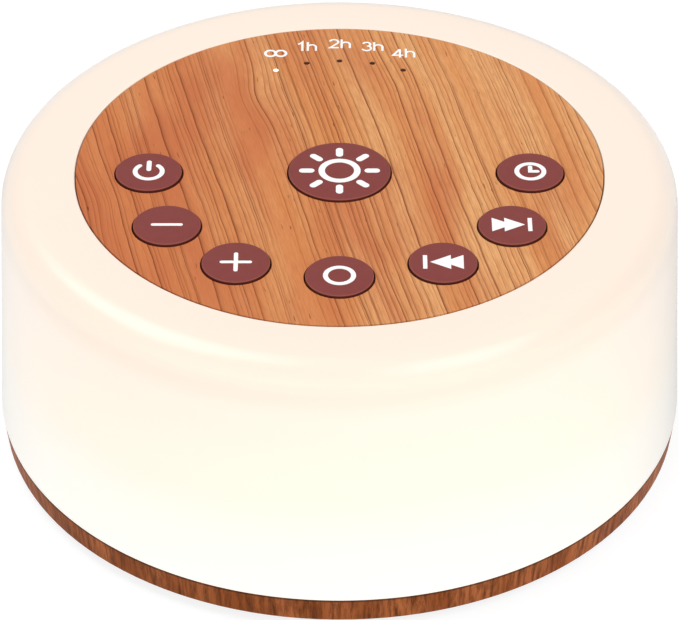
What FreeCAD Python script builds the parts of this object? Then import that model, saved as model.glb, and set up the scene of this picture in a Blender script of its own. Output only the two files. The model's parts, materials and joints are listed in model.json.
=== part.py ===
"""A bedside white noise machine with a night light, in millimetres.

A round translucent shell stands on a thin wood-look ring and glows all round. A wood-look panel lies
flush in the shell's top and carries eight round keys and five timer lights. Inside, a white tower
reflects the light of a ring of LEDs and covers a loudspeaker that faces down through the bottom cover.
+Z is up, the keys' arc opens to the back (+Y), and the origin is where the axis meets the table.
"""
import FreeCAD
import Part

import math
import os

V = FreeCAD.Vector
UP = V(0, 0, 1)

# Overall form
foot_drop = 1.6  # rubber feet stand out this far below the base
band_height = 4.6  # wood-look band between table side and shell
shell_height = 43.6  # from the band up to the flat rim
shell_foot_radius = 57.0
shell_draft = 2.7  # degrees that the side leans in
shell_wall = 2.2
shoulder_round = 5.0
panel_radius = 42.9
panel_thickness = 2.0

# Clearances
panel_gap = 0.15  # round the panel, seen as a fine dark line
ledge_width = 1.75
ledge_drop = 1.6
ledge_root = 1.2  # the shell is thicker this far outside the panel
key_gap = 0.25  # round each keycap in its hole
slip = 0.3  # between moulded parts that drop into each other
play = 0.1  # between small parts that slide or pass through
thread_play = 0.05  # round a screw's shank in its pilot hole

# Base band, its shelf and its spigot
band_inset = 0.05  # the band's top edge lies this far inside the shell's
band_draft_in = 0.5  # the band leans in this far at its foot
band_chamfer = 0.4
spigot_height = 2.0
spigot_wall = 1.4
shelf_thickness = 1.6
shelf_width = 6.6
cover_thickness = 2.0
cover_chamfer = 0.5

# Closing screws through cover and shelf into the tower's bosses
screw_count = 4
screw_first = 45.0  # degrees
boss_inset = 0.5  # from the flange's edge
boss_wall = 1.75
closing_boss_height = 5.6
closing_depth = 7.8  # of the shank above the seat
screw_shank = 1.25
screw_head_radius = 2.7
screw_head_height = 0.9
screw_hole = 1.65
pilot_tip = 0.8  # pilot holes run this far past the screw
counterbore_radius = 3.1
counterbore_depth = 1.1
recess_width = 0.55  # arms of the cross recess in a screw head
recess_share = 0.6  # of the head's height

# Feet
foot_count = 4
foot_inset = 3.6  # from the cover's edge
foot_radius = 5.0
foot_pocket_depth = 0.8
foot_edge = 0.5

# Grille and loudspeaker, which faces down
grille_hole = 1.1
grille_pitch = 4.1
dish_depth = 0.4
dish_margin = 1.6
cloth_thickness = 0.2
gasket_thickness = 1.2
gasket_room = 1.4  # between the moving cone and the gasket
speaker_room = 1.5  # between the speaker's ears and the tower
frame_sheet = 0.8
frame_rim = 0.8
seat_wall = 1.5
seat_height = 3.0
ear_radius = 2.6
ear_first = 45.0  # degrees
ear_screw_shank = 1.0
ear_screw_head = 1.8
ear_screw_head_height = 0.8
ear_screw_depth = 2.4
cone_depth = 6.6
cone_sheet = 0.4
collar_height = 0.8
surround_lip = 0.8
surround_width = 2.8
surround_sheet = 0.35
coil_wall = 0.35
coil_overhang = 3.4  # of the coil's tube past the front plate
pole_radius = 6.6
pole_play = 0.4
plate_radius = 15.0
plate_thickness = 2.0
magnet_radius = 17.5
magnet_room = 1.6  # wider than the plate's hole all round
magnet_height = 7.0
yoke_thickness = 2.2
basket_wall_height = 3.0
basket_wall_play = 0.4
basket_top_lip = 1.3  # of the basket's top round the front plate
basket_hole_play = 2.25  # round the coil's tube
basket_windows = 4
window_sweep = 58.0  # degrees
window_low = 1.4  # above the rim
window_drop = 2.4  # below the basket's top
terminal_tab = 7.0  # width of the fifth ear, which carries the terminals
terminal_angle = 67.5  # degrees, for the terminals and the leads' slot above them
cap_lap = 1.65  # of the dust cap over the cone outside the coil's tube
cap_rise = 2.4
spider_rings = 3
spider_wave = 0.35
spider_sheet = 0.3
spider_gap = 0.1  # above the cone's collar
spider_seat_width = 1.4
spider_seat_height = 0.6
spider_seat_inset = 2.0
glue = 0.03  # left between curved pieces that are glued together

# White tower with its flange
tower_lead_gap = 3.25  # between the tower's top and the connectors outside it
tower_wall = 1.8
tower_room = 1.4  # over the tower, under the tallest part of the key board
flange_thickness = 1.6
gusset_count = 8
gusset_first = 10.0  # degrees, clear of the tower's screws
gusset_reach = 5.0
gusset_thickness = 1.2

# Night-light board on the flange
light_board_gap = 1.5  # round the tower
light_board_width = 10.0
light_board_thickness = 1.2
light_count = 12
light_first = 15.0  # degrees
light_size = 5.0
light_height = 1.6
light_well = 0.4
light_screws = 3
light_screw_inset = 2.1  # from the board's edge
light_screw_first = 30.0  # degrees
peg_wall = 1.0

# Key deck: the small keys stand in an arc that is open to the back, alike left and right
key_radius = 5.4
light_key_radius = 8.3
light_key_setback = 1.0  # the large key lies this far in front of the axis
outer_pair_angle = 2.3  # degrees in front of the cross axis
outer_pair_inset = 11.9  # from the panel's edge to the key's centre
middle_pair_angle = 30.7
middle_pair_inset = 10.9
front_pair_angle = 58.5
front_pair_inset = 11.7
sound_key_inset = 12.7
key_rise = 0.45  # keycaps stand this far above the panel
key_edge = 0.2
key_roof = 1.3
key_wall = 1.25
key_flange_width = 0.9
key_flange_thickness = 1.0
key_stem = 1.9
key_travel = 0.4
peg_radius = 0.8
peg_height = 1.8
peg_standoff = 0.2  # from the key's hole

# Switches under the keys
switch_body = 6.0
switch_height = 3.5
plunger_radius = 1.7
plunger_rise = 1.0
plunger_sunk = 1.4

# Timer lights
timer_inset = 10.1  # from the panel's edge to the middle light
timer_bend = 21.5  # radius of the arc that the lights stand on
timer_angles = [120.0, 105.0, 90.0, 75.0, 60.0]
timer_hole = 0.5
guide_play = 0.05
guide_sunk = 0.25  # guide pins end this far below the panel's face
guide_bar_width = 2.6
guide_bar_thickness = 1.4
guide_bar_over = 6.0  # degrees past the end lights
guide_leg = 1.1
guide_lap = 0.5  # of pins and legs into the bar
guide_light_gap = 0.4
timer_led = (1.6, 0.9, 0.7)

# Key board and the panel's bosses
key_board_play = 1.85  # inside the panel's skirt
key_board_thickness = 1.6
key_board_drop = 6.2  # from the panel's underside to the board
skirt_wall = 1.0
skirt_height = 3.0
boss_circle_inset = 23.4  # from the panel's edge
board_screw_shank = 1.0
board_screw_head = 1.9
board_screw_head_height = 0.9
board_screw_depth = 4.2
tower_screw_shank = 1.3
tower_screw_depth = 8.0
tower_boss_radius = 2.8
controller_chips = [  # x, y, width, depth, height on the board's underside
    (0.0, 8.5, 7.0, 7.0, 1.2),
    (-8.5, -7.0, 5.0, 4.0, 1.4),
    (9.0, -6.0, 4.0, 5.0, 1.5),
    (8.5, 3.5, 3.0, 1.6, 0.9),
    (-9.0, 3.0, 1.6, 3.2, 0.9),
]
capacitor_place = (0.0, -9.5)
capacitor_radius = 2.5
capacitor_height = 4.6

# Power inlet at the back
inlet_gap = 0.4  # between the bezel's lip and the base's spigot
socket_width = 8.94
socket_thickness = 3.26
socket_round = 1.4
socket_sheet = 0.3
socket_length = 7.3
socket_inset = 0.9  # mouth behind the shell's face
tongue_width = 6.7
tongue_thickness = 0.7
tongue_length = 4.6
bezel_width = 15.0
bezel_height = 8.6
bezel_round = 2.4
bezel_lip = 1.0
bezel_lip_thickness = 0.9
bezel_dish = 0.7
bezel_dish_width = 12.6
bezel_dish_height = 6.6
bezel_dish_round = 2.0
power_board_width = 18.0
power_board_length = 12.5
power_board_gap = 2.3  # inside the shell's bore
power_board_thickness = 1.6
power_screw_offset = 6.6
power_post_inset = 3.3  # from the board's outer end
power_post_radius = 2.0
power_chips = [  # x, distance from the board's inner end, width, depth, height
    (-4.5, 3.2, 4.0, 4.0, 1.5),
    (0.0, 6.2, 2.2, 1.6, 1.1),
]
power_header_inset = 2.6  # from the board's inner end

# Leads and their connectors
lead_radius = 0.6
lead_pitch = 1.5
lead_knees = (0.3, 0.64)  # share of the climb at which a lead turns over and back
connector_along = 5.6
connector_across = 4.0
connector_height = 4.6
header_height = 3.4
slot_inset = 7.0  # from the tower's edge to the middle of the leads' slot
slot_along = 9.0
slot_across = 5.0
outer_connector_inset = 2.4  # from the key board's edge
power_lead_x = 4.6
light_lead_angle = 210.0
terminal_inset = 2.0  # outside the speaker's rim
terminal_thickness = 1.2
terminal_depth = 2.4
tab_thickness = 0.4
tab_height = 4.0

# Levels, worked out upwards from the table
band_foot_z = foot_drop
seam_z = foot_drop + band_height
rim_z = seam_z + shell_height
panel_under_z = rim_z - panel_thickness
cover_top_z = band_foot_z + cover_thickness
shelf_top_z = cover_top_z + shelf_thickness
flange_top_z = shelf_top_z + flange_thickness
board_top_z = panel_under_z - key_board_drop
board_under_z = board_top_z - key_board_thickness
switch_top_z = board_top_z + switch_height
stem_foot_z = switch_top_z + plunger_rise
key_top_z = rim_z + key_rise
tower_top = board_under_z - capacitor_height - tower_room
inlet_height = seam_z + spigot_height + inlet_gap + bezel_lip + bezel_height / 2
power_board_top_z = inlet_height - socket_thickness / 2

# The speaker's levels
frame_z = cover_top_z + gasket_thickness  # lower face of the speaker's rim
cone_mouth_z = frame_z + frame_sheet
cone_neck_z = cone_mouth_z + cone_depth
spider_z = cone_neck_z + collar_height + spider_gap
basket_top_z = spider_z + spider_sheet + spider_seat_height + frame_sheet
plate_top_z = basket_top_z + plate_thickness
yoke_z = plate_top_z + magnet_height

# Radii that follow from the shell, from the outside inwards
cone_tan = math.tan(math.radians(shell_draft))
shell_bore = shell_foot_radius - shell_wall
spigot_outer = shell_bore - slip
spigot_inner = spigot_outer - spigot_wall
cover_radius = spigot_inner
cover_pocket = cover_radius + slip
shelf_inner = spigot_inner - shelf_width
foot_circle = cover_radius - foot_inset - foot_radius
flange_radius = spigot_inner - slip
closing_boss_radius = screw_shank + boss_wall
closing_circle = flange_radius - boss_inset - closing_boss_radius
light_board_outer = closing_circle - closing_boss_radius - slip
light_board_inner = light_board_outer - light_board_width
light_circle = (light_board_inner + light_board_outer) / 2
light_screw_circle = light_board_outer - light_screw_inset
tower_foot_radius = light_board_inner - light_board_gap
power_board_outer = shell_bore - power_board_gap
power_board_inner = power_board_outer - power_board_length

# The speaker's radii
ear_circle = tower_foot_radius - tower_wall - speaker_room - ear_radius
frame_radius = ear_circle - ear_radius
basket_wall_radius = frame_radius - frame_rim
surround_outer = basket_wall_radius - frame_sheet - basket_wall_play - surround_lip
cone_mouth = surround_outer - surround_width - surround_lip
gasket_inner = cone_mouth + surround_lip + gasket_room
coil_outer = pole_radius + pole_play + coil_wall
gap_outer = coil_outer + pole_play
basket_hole = coil_outer + basket_hole_play
basket_top_radius = plate_radius + basket_top_lip
cap_radius = coil_outer + cap_lap
grille_rings = int((gasket_inner - grille_hole - dish_margin) / grille_pitch)

# Radii that follow from the panel
opening_radius = panel_radius + panel_gap
ledge_radius = opening_radius - ledge_width
skirt_outer = ledge_radius - slip
skirt_inner = skirt_outer - skirt_wall
key_board_radius = skirt_inner - key_board_play
outer_connector_circle = key_board_radius - outer_connector_inset
tower_top_radius = outer_connector_circle - connector_across / 2 - tower_lead_gap
slot_circle = tower_top_radius - slot_inset
timer_middle = V(0, panel_radius - timer_inset - timer_bend, 0)  # of the lights' arc
boss_circle = panel_radius - boss_circle_inset


# Building blocks

def around(count, circle, first=0.0):
    """Angles in degrees and points of a ring of places round the axis."""
    for n in range(count):
        angle = first + 360.0 * n / count
        turn = math.radians(angle)
        yield angle, V(circle * math.cos(turn), circle * math.sin(turn), 0)


def at(circle, angle, z=0.0):
    turn = math.radians(angle)
    return V(circle * math.cos(turn), circle * math.sin(turn), z)


def face_of(path):
    """A flat face in the XZ plane: each step is a point (r, z), or (middle, end) for an arc."""
    first = path[0]
    here = V(first[0], 0, first[1])
    start = here
    edges = []
    for step in path[1:] + [first]:
        if isinstance(step[0], tuple):
            middle, end = (V(p[0], 0, p[1]) for p in step)
            edges.append(Part.Arc(here, middle, end).toShape())
        else:
            end = V(step[0], 0, step[1])
            if end.distanceToPoint(here) < 1e-6:
                continue
            edges.append(Part.makeLine(here, end))
        here = end
    assert here.distanceToPoint(start) < 1e-6
    return Part.Face(Part.Wire(edges))


def turned(path):
    """The solid that a closed outline of (r, z) steps sweeps round the Z axis."""
    return face_of(path).revolve(V(0, 0, 0), UP, 360)


def arc(centre, radius, start, end):
    """The (middle, end) step of an arc about a centre, between two angles in degrees."""
    def point(angle):
        turn = math.radians(angle)
        return (centre[0] + radius * math.cos(turn), centre[1] + radius * math.sin(turn))
    return (point((start + end) / 2), point(end))


def rod(radius, low, high, place=V(0, 0, 0)):
    return Part.makeCylinder(radius, high - low, V(place.x, place.y, low), UP)


def ring(inner, outer, low, high, place=V(0, 0, 0)):
    return rod(outer, low, high, place).cut(rod(inner, low, high, place))


def block(width, depth, low, high, place=V(0, 0, 0), angle=0.0):
    """An upright block centred on a place and turned about it."""
    corner = V(-width / 2, -depth / 2, low)
    solid = Part.makeBox(width, depth, high - low, corner)
    solid.rotate(V(0, 0, 0), UP, angle)
    solid.translate(V(place.x, place.y, 0))
    return solid


def round_slot(width, height, corner, near, far, z):
    """A rounded rectangle in the XZ plane, carried along Y from near to far."""
    solid = Part.makeBox(width, far - near, height, V(-width / 2, near, z - height / 2))
    upright = [e for e in solid.Edges if abs(e.tangentAt(e.FirstParameter).y) > 0.99]
    return solid.makeFillet(min(corner, height / 2 - 0.01), upright)


def fused(parts):
    first, *rest = parts
    return first.multiFuse(rest).removeSplitter() if rest else first


def carved(solid, tools):
    return solid.cut(Part.makeCompound(list(tools)))


def group(solids):
    return Part.makeCompound(list(solids))


def screw(place, seat, depth, shank, head, head_height, points_up=True):
    """A pan-head screw with a cross recess: its head bears at seat, and depth is its shank's length."""
    recess = head_height * recess_share
    head_solid = rod(head, -head_height, 0)
    edge = [e for e in head_solid.Edges if abs(e.BoundBox.ZMax + head_height) < 1e-6]
    head_solid = head_solid.makeFillet(head_height * 0.45, edge)
    arm = head * 1.1
    cross = fused([
        block(arm, recess_width, -head_height - 1, recess - head_height),
        block(recess_width, arm, -head_height - 1, recess - head_height),
    ])
    body = head_solid.cut(cross).fuse(rod(shank, 0, depth)).removeSplitter()
    if not points_up:
        body.rotate(V(0, 0, 0), V(1, 0, 0), 180)
    body.translate(V(place.x, place.y, seat))
    return body


# Shell and panel

def wall_radius(z, depth=0.0):
    """Radius of the shell's drafted side at a height, or of the surface that far inside it."""
    return shell_foot_radius - (z - seam_z) * cone_tan - depth


def shoulder(depth=0.0):
    """Centre and radius of the shoulder's round, which runs on from the drafted side."""
    centre_z = rim_z - shoulder_round
    lean = math.radians(shell_draft)
    centre_r = wall_radius(centre_z) - shoulder_round / math.cos(lean)
    return (centre_r, centre_z), shoulder_round - depth


def inlet_window(grow=0.0):
    """The opening for the power socket's bezel, through the shell's back."""
    width, height = bezel_width + 2 * grow, bezel_height + 2 * grow
    near = shell_bore - bezel_width / 2
    return round_slot(width, height, bezel_round + grow, near, shell_foot_radius, inlet_height)


def diffuser_shell():
    """Translucent shell: drafted side, round shoulder, flat rim and the ledge that carries the panel."""
    centre, outer = shoulder()
    inner = shoulder(shell_wall)[1]
    ledge_under = panel_under_z - ledge_drop
    ledge_outer = opening_radius + ledge_root
    outside_foot = (wall_radius(seam_z), seam_z)
    tangent = arc(centre, outer, 90, shell_draft)[1]
    inside_tangent = arc(centre, inner, 90, shell_draft)[1]
    path = [
        outside_foot,
        tangent,
        arc(centre, outer, shell_draft, 90),
        (opening_radius, rim_z),
        (opening_radius, panel_under_z),
        (ledge_radius, panel_under_z),
        (ledge_radius, ledge_under),
        (ledge_outer, ledge_under),
        (ledge_outer, rim_z - shell_wall),
        (centre[0], rim_z - shell_wall),
        arc(centre, inner, 90, shell_draft),
        (inside_tangent[0] + (inside_tangent[1] - seam_z) * cone_tan, seam_z),
    ]
    return turned(path).cut(inlet_window(play))


def key_places():
    """Name, centre and radius of each key; the pairs lie alike left and right of the front."""
    places = {
        "power": (180 + outer_pair_angle, outer_pair_inset),
        "volume_down": (180 + middle_pair_angle, middle_pair_inset),
        "volume_up": (180 + front_pair_angle, front_pair_inset),
        "sound": (270, sound_key_inset),
        "previous": (-front_pair_angle, front_pair_inset),
        "next": (-middle_pair_angle, middle_pair_inset),
        "timer": (-outer_pair_angle, outer_pair_inset),
    }
    keys = [(name, at(panel_radius - inset, angle), key_radius)
            for name, (angle, inset) in places.items()]
    keys.append(("light", V(0, -light_key_setback, 0), light_key_radius))
    return keys


def peg_offset(centre, radius):
    """From a key's centre to the peg that stops it turning, on the side of the panel's middle."""
    inwards = V(-centre.x, -centre.y, 0).normalize()
    return inwards * (radius + key_gap + peg_standoff + peg_radius)


def timer_places():
    return [(angle, timer_middle + at(timer_bend, angle)) for angle in timer_angles]


def board_screw_places():
    return [place for _, place in around(4, boss_circle, 45)]


def tower_screw_places():
    return [place for _, place in around(4, boss_circle, 0)]


def top_panel():
    """Wood-look panel with its key holes, timer holes, locating skirt, bosses and pegs."""
    disc = rod(panel_radius, panel_under_z, rim_z)
    below = [ring(skirt_inner, skirt_outer, panel_under_z - skirt_height, panel_under_z)]
    for place in board_screw_places():
        radius = board_screw_shank + boss_wall
        below.append(rod(radius, board_top_z, panel_under_z, place))
    for place in tower_screw_places():
        below.append(rod(tower_boss_radius, tower_top, panel_under_z, place))
    for _, centre, radius in key_places():
        peg = centre + peg_offset(centre, radius)
        below.append(rod(peg_radius, panel_under_z - peg_height, panel_under_z, peg))
    holes = [rod(radius + key_gap, panel_under_z - 1, rim_z + 1, centre)
             for _, centre, radius in key_places()]
    for _, place in timer_places():
        holes.append(rod(timer_hole, panel_under_z - 1, rim_z + 1, place))
    for place in board_screw_places():
        depth = board_screw_depth - key_board_thickness + pilot_tip
        pilot = board_screw_shank + thread_play
        holes.append(rod(pilot, board_top_z - 1, board_top_z + depth, place))
    for place in tower_screw_places():
        depth = tower_screw_depth - tower_wall + pilot_tip
        pilot = tower_screw_shank + thread_play
        holes.append(rod(pilot, tower_top - 1, tower_top + depth, place))
    return carved(fused([disc] + below), holes)


# Keys and switches

def keycap(centre, radius):
    """A hollow cap with a rounded edge, a flange that holds it in, a notch for its peg and a stem."""
    flange = radius + key_flange_width
    flange_z = panel_under_z - key_flange_thickness
    roof_z = key_top_z - key_roof
    path = [
        (0, stem_foot_z),
        (key_stem, stem_foot_z),
        (key_stem, roof_z),
        (radius - key_wall, roof_z),
        (radius - key_wall, flange_z),
        (flange, flange_z),
        (flange, panel_under_z),
        (radius, panel_under_z),
        (radius, key_top_z - key_edge),
        arc((radius - key_edge, key_top_z - key_edge), key_edge, 0, 90),
        (0, key_top_z),
    ]
    cap = turned(path)
    notch = rod(peg_radius + slip, flange_z, panel_under_z, peg_offset(centre, radius))
    cap = cap.cut(notch)
    cap.translate(centre)
    return cap


def plunger(centre):
    return rod(plunger_radius, switch_top_z - plunger_sunk, stem_foot_z, centre)


def switch_bodies():
    """Square switch cases on the key board, each with the well that its plunger slides in."""
    well_floor = switch_top_z - plunger_sunk - key_travel - thread_play
    cases = []
    for _, centre, _ in key_places():
        case = block(switch_body, switch_body, board_top_z, switch_top_z, centre)
        well = rod(plunger_radius + play, well_floor, switch_top_z + 1, centre)
        cases.append(case.cut(well))
    return group(cases)


def key_board():
    """Round board under the panel, held on four short bosses and passed by four long ones."""
    disc = rod(key_board_radius, board_under_z, board_top_z)
    holes = [rod(board_screw_shank + play, board_under_z - 1, board_top_z + 1, place)
             for place in board_screw_places()]
    holes += [rod(tower_boss_radius + slip, board_under_z - 1, board_top_z + 1, place)
              for place in tower_screw_places()]
    return carved(disc, holes)


def key_board_screws():
    return group(screw(place, board_under_z, board_screw_depth, board_screw_shank,
                       board_screw_head, board_screw_head_height)
                 for place in board_screw_places())


def timer_leds():
    width, depth, height = timer_led
    return group(block(width, depth, board_top_z, board_top_z + height, place, angle)
                 for angle, place in timer_places())


def timer_light_guide():
    """Clear bar under the panel with a pin up each timer hole and a leg down over each LED."""
    top = panel_under_z
    low = top - guide_bar_thickness
    half = guide_bar_width / 2
    bar = ring(timer_bend - half, timer_bend + half, low, top, timer_middle)
    first = min(timer_angles) - guide_bar_over
    sweep = max(timer_angles) - min(timer_angles) + 2 * guide_bar_over
    wedge = Part.makeCylinder(timer_bend * 2, top - low, timer_middle + V(0, 0, low), UP, sweep)
    wedge.rotate(timer_middle, UP, first)
    pieces = [bar.common(wedge)]
    leg_foot = board_top_z + timer_led[2] + guide_light_gap
    for _, place in timer_places():
        pieces.append(rod(timer_hole - guide_play, top - guide_lap, rim_z - guide_sunk, place))
        pieces.append(rod(guide_leg, leg_foot, low + guide_lap, place))
    return fused(pieces)


def chip_blocks(chips, base, sign, y_start=0.0):
    for x, y, width, depth, height in chips:
        low, high = sorted((base, base + sign * height))
        yield block(width, depth, low, high, V(x, y_start + y, 0))


def controller_parts():
    """Chips and the capacitor that hang under the key board."""
    solids = list(chip_blocks(controller_chips, board_under_z, -1))
    can = V(capacitor_place[0], capacitor_place[1], 0)
    solids.append(rod(capacitor_radius, board_under_z - capacitor_height, board_under_z, can))
    return group(solids)


# Base

def base_ring():
    """Wood-look band with the spigot that centres the shell and the shelf that the cover closes."""
    top = shell_foot_radius - band_inset
    foot = top - band_draft_in
    path = [
        (foot - band_chamfer, band_foot_z),
        (foot, band_foot_z + band_chamfer),
        (top, seam_z),
        (spigot_outer, seam_z),
        (spigot_outer, seam_z + spigot_height),
        (spigot_inner, seam_z + spigot_height),
        (spigot_inner, shelf_top_z),
        (shelf_inner, shelf_top_z),
        (shelf_inner, cover_top_z),
        (cover_pocket, cover_top_z),
        (cover_pocket, band_foot_z),
    ]
    holes = [rod(screw_hole, cover_top_z - 1, shelf_top_z + 1, place)
             for place in closing_places()]
    return carved(turned(path), holes)


def closing_places():
    return [place for _, place in around(screw_count, closing_circle, screw_first)]


def grille_places():
    """Rings of holes: one in the middle, then six more in each ring than in the last."""
    places = [V(0, 0, 0)]
    for n in range(1, grille_rings + 1):
        places += [place for _, place in around(6 * n, n * grille_pitch)]
    return places


def ear_places():
    return [place for _, place in around(4, ear_circle, ear_first)]


def tab_angles():
    """Angle and width of the speaker's four ears and of the tab that carries its terminals."""
    ears = [(angle, 2 * ear_radius) for angle, _ in around(4, 1, ear_first)]
    return ears + [(terminal_angle, terminal_tab)]


def bottom_cover():
    """Cover with the speaker's grille and seat, foot pockets and counterbored screw holes."""
    dish_radius = grille_rings * grille_pitch + grille_hole + dish_margin
    path = [
        (0, band_foot_z + dish_depth),
        (dish_radius, band_foot_z + dish_depth),
        (dish_radius + dish_depth, band_foot_z),
        (cover_radius - cover_chamfer, band_foot_z),
        (cover_radius, band_foot_z + cover_chamfer),
        (cover_radius, cover_top_z),
        (0, cover_top_z),
    ]
    seat_inner = frame_radius + slip
    seat = ring(seat_inner, seat_inner + seat_wall, cover_top_z, cover_top_z + seat_height)
    reach = 4 * seat_wall
    seat = carved(seat, [block(width + 2 * slip, reach, cover_top_z, cover_top_z + seat_height,
                               at(seat_inner + seat_wall / 2, angle), angle - 90)
                         for angle, width in tab_angles()])
    bosses = [rod(ear_screw_shank + boss_wall - slip, cover_top_z, frame_z, place)
              for place in ear_places()]
    plate = fused([turned(path), seat] + bosses)
    cuts = [rod(grille_hole, band_foot_z - 1, cover_top_z + 1, place)
            for place in grille_places()]
    for _, place in around(foot_count, foot_circle):
        cuts.append(rod(foot_radius + play, band_foot_z - 1, band_foot_z + foot_pocket_depth, place))
    for place in closing_places():
        cuts.append(rod(screw_hole, band_foot_z - 1, cover_top_z + 1, place))
        cuts.append(rod(counterbore_radius, band_foot_z - 1, band_foot_z + counterbore_depth, place))
    for place in ear_places():
        depth = ear_screw_depth - frame_sheet + thread_play
        cuts.append(rod(ear_screw_shank + thread_play, frame_z - depth, frame_z + 1, place))
    return carved(plate, cuts)


def rubber_feet():
    """Stick-on feet with a rounded lower edge."""
    top = band_foot_z + foot_pocket_depth
    path = [
        (0, 0),
        (foot_radius - foot_edge, 0),
        arc((foot_radius - foot_edge, foot_edge), foot_edge, -90, 0),
        (foot_radius, top),
        (0, top),
    ]
    feet = []
    for _, place in around(foot_count, foot_circle):
        foot = turned(path)
        foot.translate(place)
        feet.append(foot)
    return group(feet)


def closing_screws():
    seat = band_foot_z + counterbore_depth
    return group(screw(place, seat, closing_depth, screw_shank,
                       screw_head_radius, screw_head_height)
                 for place in closing_places())


# Tower and night light

def tower_outer(z):
    share = (z - shelf_top_z) / (tower_top - shelf_top_z)
    return tower_foot_radius + share * (tower_top_radius - tower_foot_radius)


def light_screw_places():
    return [place for _, place in around(light_screws, light_screw_circle, light_screw_first)]


def light_peg_foot():
    """Lower end of the pegs that take the night-light board's screws, just above the cover."""
    return cover_top_z + slip


def power_posts():
    y = power_board_outer - power_post_inset
    return [V(side * power_screw_offset, y, 0) for side in (-1, 1)]


def reflector_tower():
    """White tower: flange on the base's shelf, tapered wall, roof, inner gussets, bosses and posts."""
    roof_z = tower_top - tower_wall
    path = [
        (tower_outer(shelf_top_z) - tower_wall, shelf_top_z),
        (flange_radius, shelf_top_z),
        (flange_radius, flange_top_z),
        (tower_outer(flange_top_z), flange_top_z),
        (tower_top_radius, tower_top),
        (0, tower_top),
        (0, roof_z),
        (tower_outer(roof_z) - tower_wall, roof_z),
    ]
    added = [turned(path)]
    gusset = face_of([
        (tower_outer(roof_z) - tower_wall / 2, roof_z - gusset_reach),
        (tower_outer(roof_z) - tower_wall / 2, roof_z + 0.5),
        (tower_outer(roof_z) - tower_wall - gusset_reach, roof_z + 0.5),
        (tower_outer(roof_z) - tower_wall - gusset_reach, roof_z),
    ]).extrude(V(0, gusset_thickness, 0))
    gusset.translate(V(0, -gusset_thickness / 2, 0))
    for angle, _ in around(gusset_count, 1, gusset_first):
        rib = gusset.copy()
        rib.rotate(V(0, 0, 0), UP, angle)
        added.append(rib)
    boss_top = flange_top_z + closing_boss_height
    added += [rod(closing_boss_radius, shelf_top_z, boss_top, place) for place in closing_places()]
    peg_foot = light_peg_foot()
    added += [rod(board_screw_shank + peg_wall, peg_foot, flange_top_z, place)
              for place in light_screw_places()]
    post_top = power_board_top_z - power_board_thickness
    added += [rod(power_post_radius, flange_top_z - 0.5, post_top, place) for place in power_posts()]
    cuts = []
    closing_top = band_foot_z + counterbore_depth + closing_depth + pilot_tip
    for place in closing_places():
        cuts.append(rod(screw_shank + thread_play, shelf_top_z - 1, closing_top, place))
    pilot = board_screw_shank + thread_play
    for place in light_screw_places():
        cuts.append(rod(pilot, peg_foot + 0.4, flange_top_z + 1, place))
    for place in power_posts():
        cuts.append(rod(pilot, flange_top_z + 0.2, post_top + 1, place))
    cuts += [rod(tower_screw_shank + play, roof_z - 1, tower_top + 1, place)
             for place in tower_screw_places()]
    cuts.append(block(slot_along, slot_across, roof_z - 1, tower_top + 1,
                      at(slot_circle, terminal_angle), terminal_angle - 90))
    return carved(fused(added), cuts)


def tower_screws():
    return group(screw(place, tower_top - tower_wall, tower_screw_depth, tower_screw_shank,
                       screw_head_radius, screw_head_height)
                 for place in tower_screw_places())


def night_light_board():
    """Ring of circuit board round the tower's foot."""
    top = flange_top_z + light_board_thickness
    holes = [rod(board_screw_shank + play, flange_top_z - 1, top + 1, place)
             for place in light_screw_places()]
    return carved(ring(light_board_inner, light_board_outer, flange_top_z, top), holes)


def night_light_leds():
    """Square LEDs with a shallow round lens well, evenly spaced round the board."""
    low = flange_top_z + light_board_thickness
    high = low + light_height
    solids = []
    for angle, place in around(light_count, light_circle, light_first):
        body = block(light_size, light_size, low, high, place, angle)
        solids.append(body.cut(rod(light_size * 0.36, high - light_well, high + 1, place)))
    return group(solids)


def night_light_screws():
    seat = flange_top_z + light_board_thickness
    depth = seat - light_peg_foot() - 1.0
    return group(screw(place, seat, depth, board_screw_shank, board_screw_head,
                       board_screw_head_height, points_up=False)
                 for place in light_screw_places())


# Loudspeaker, built upwards from its rim

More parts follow.
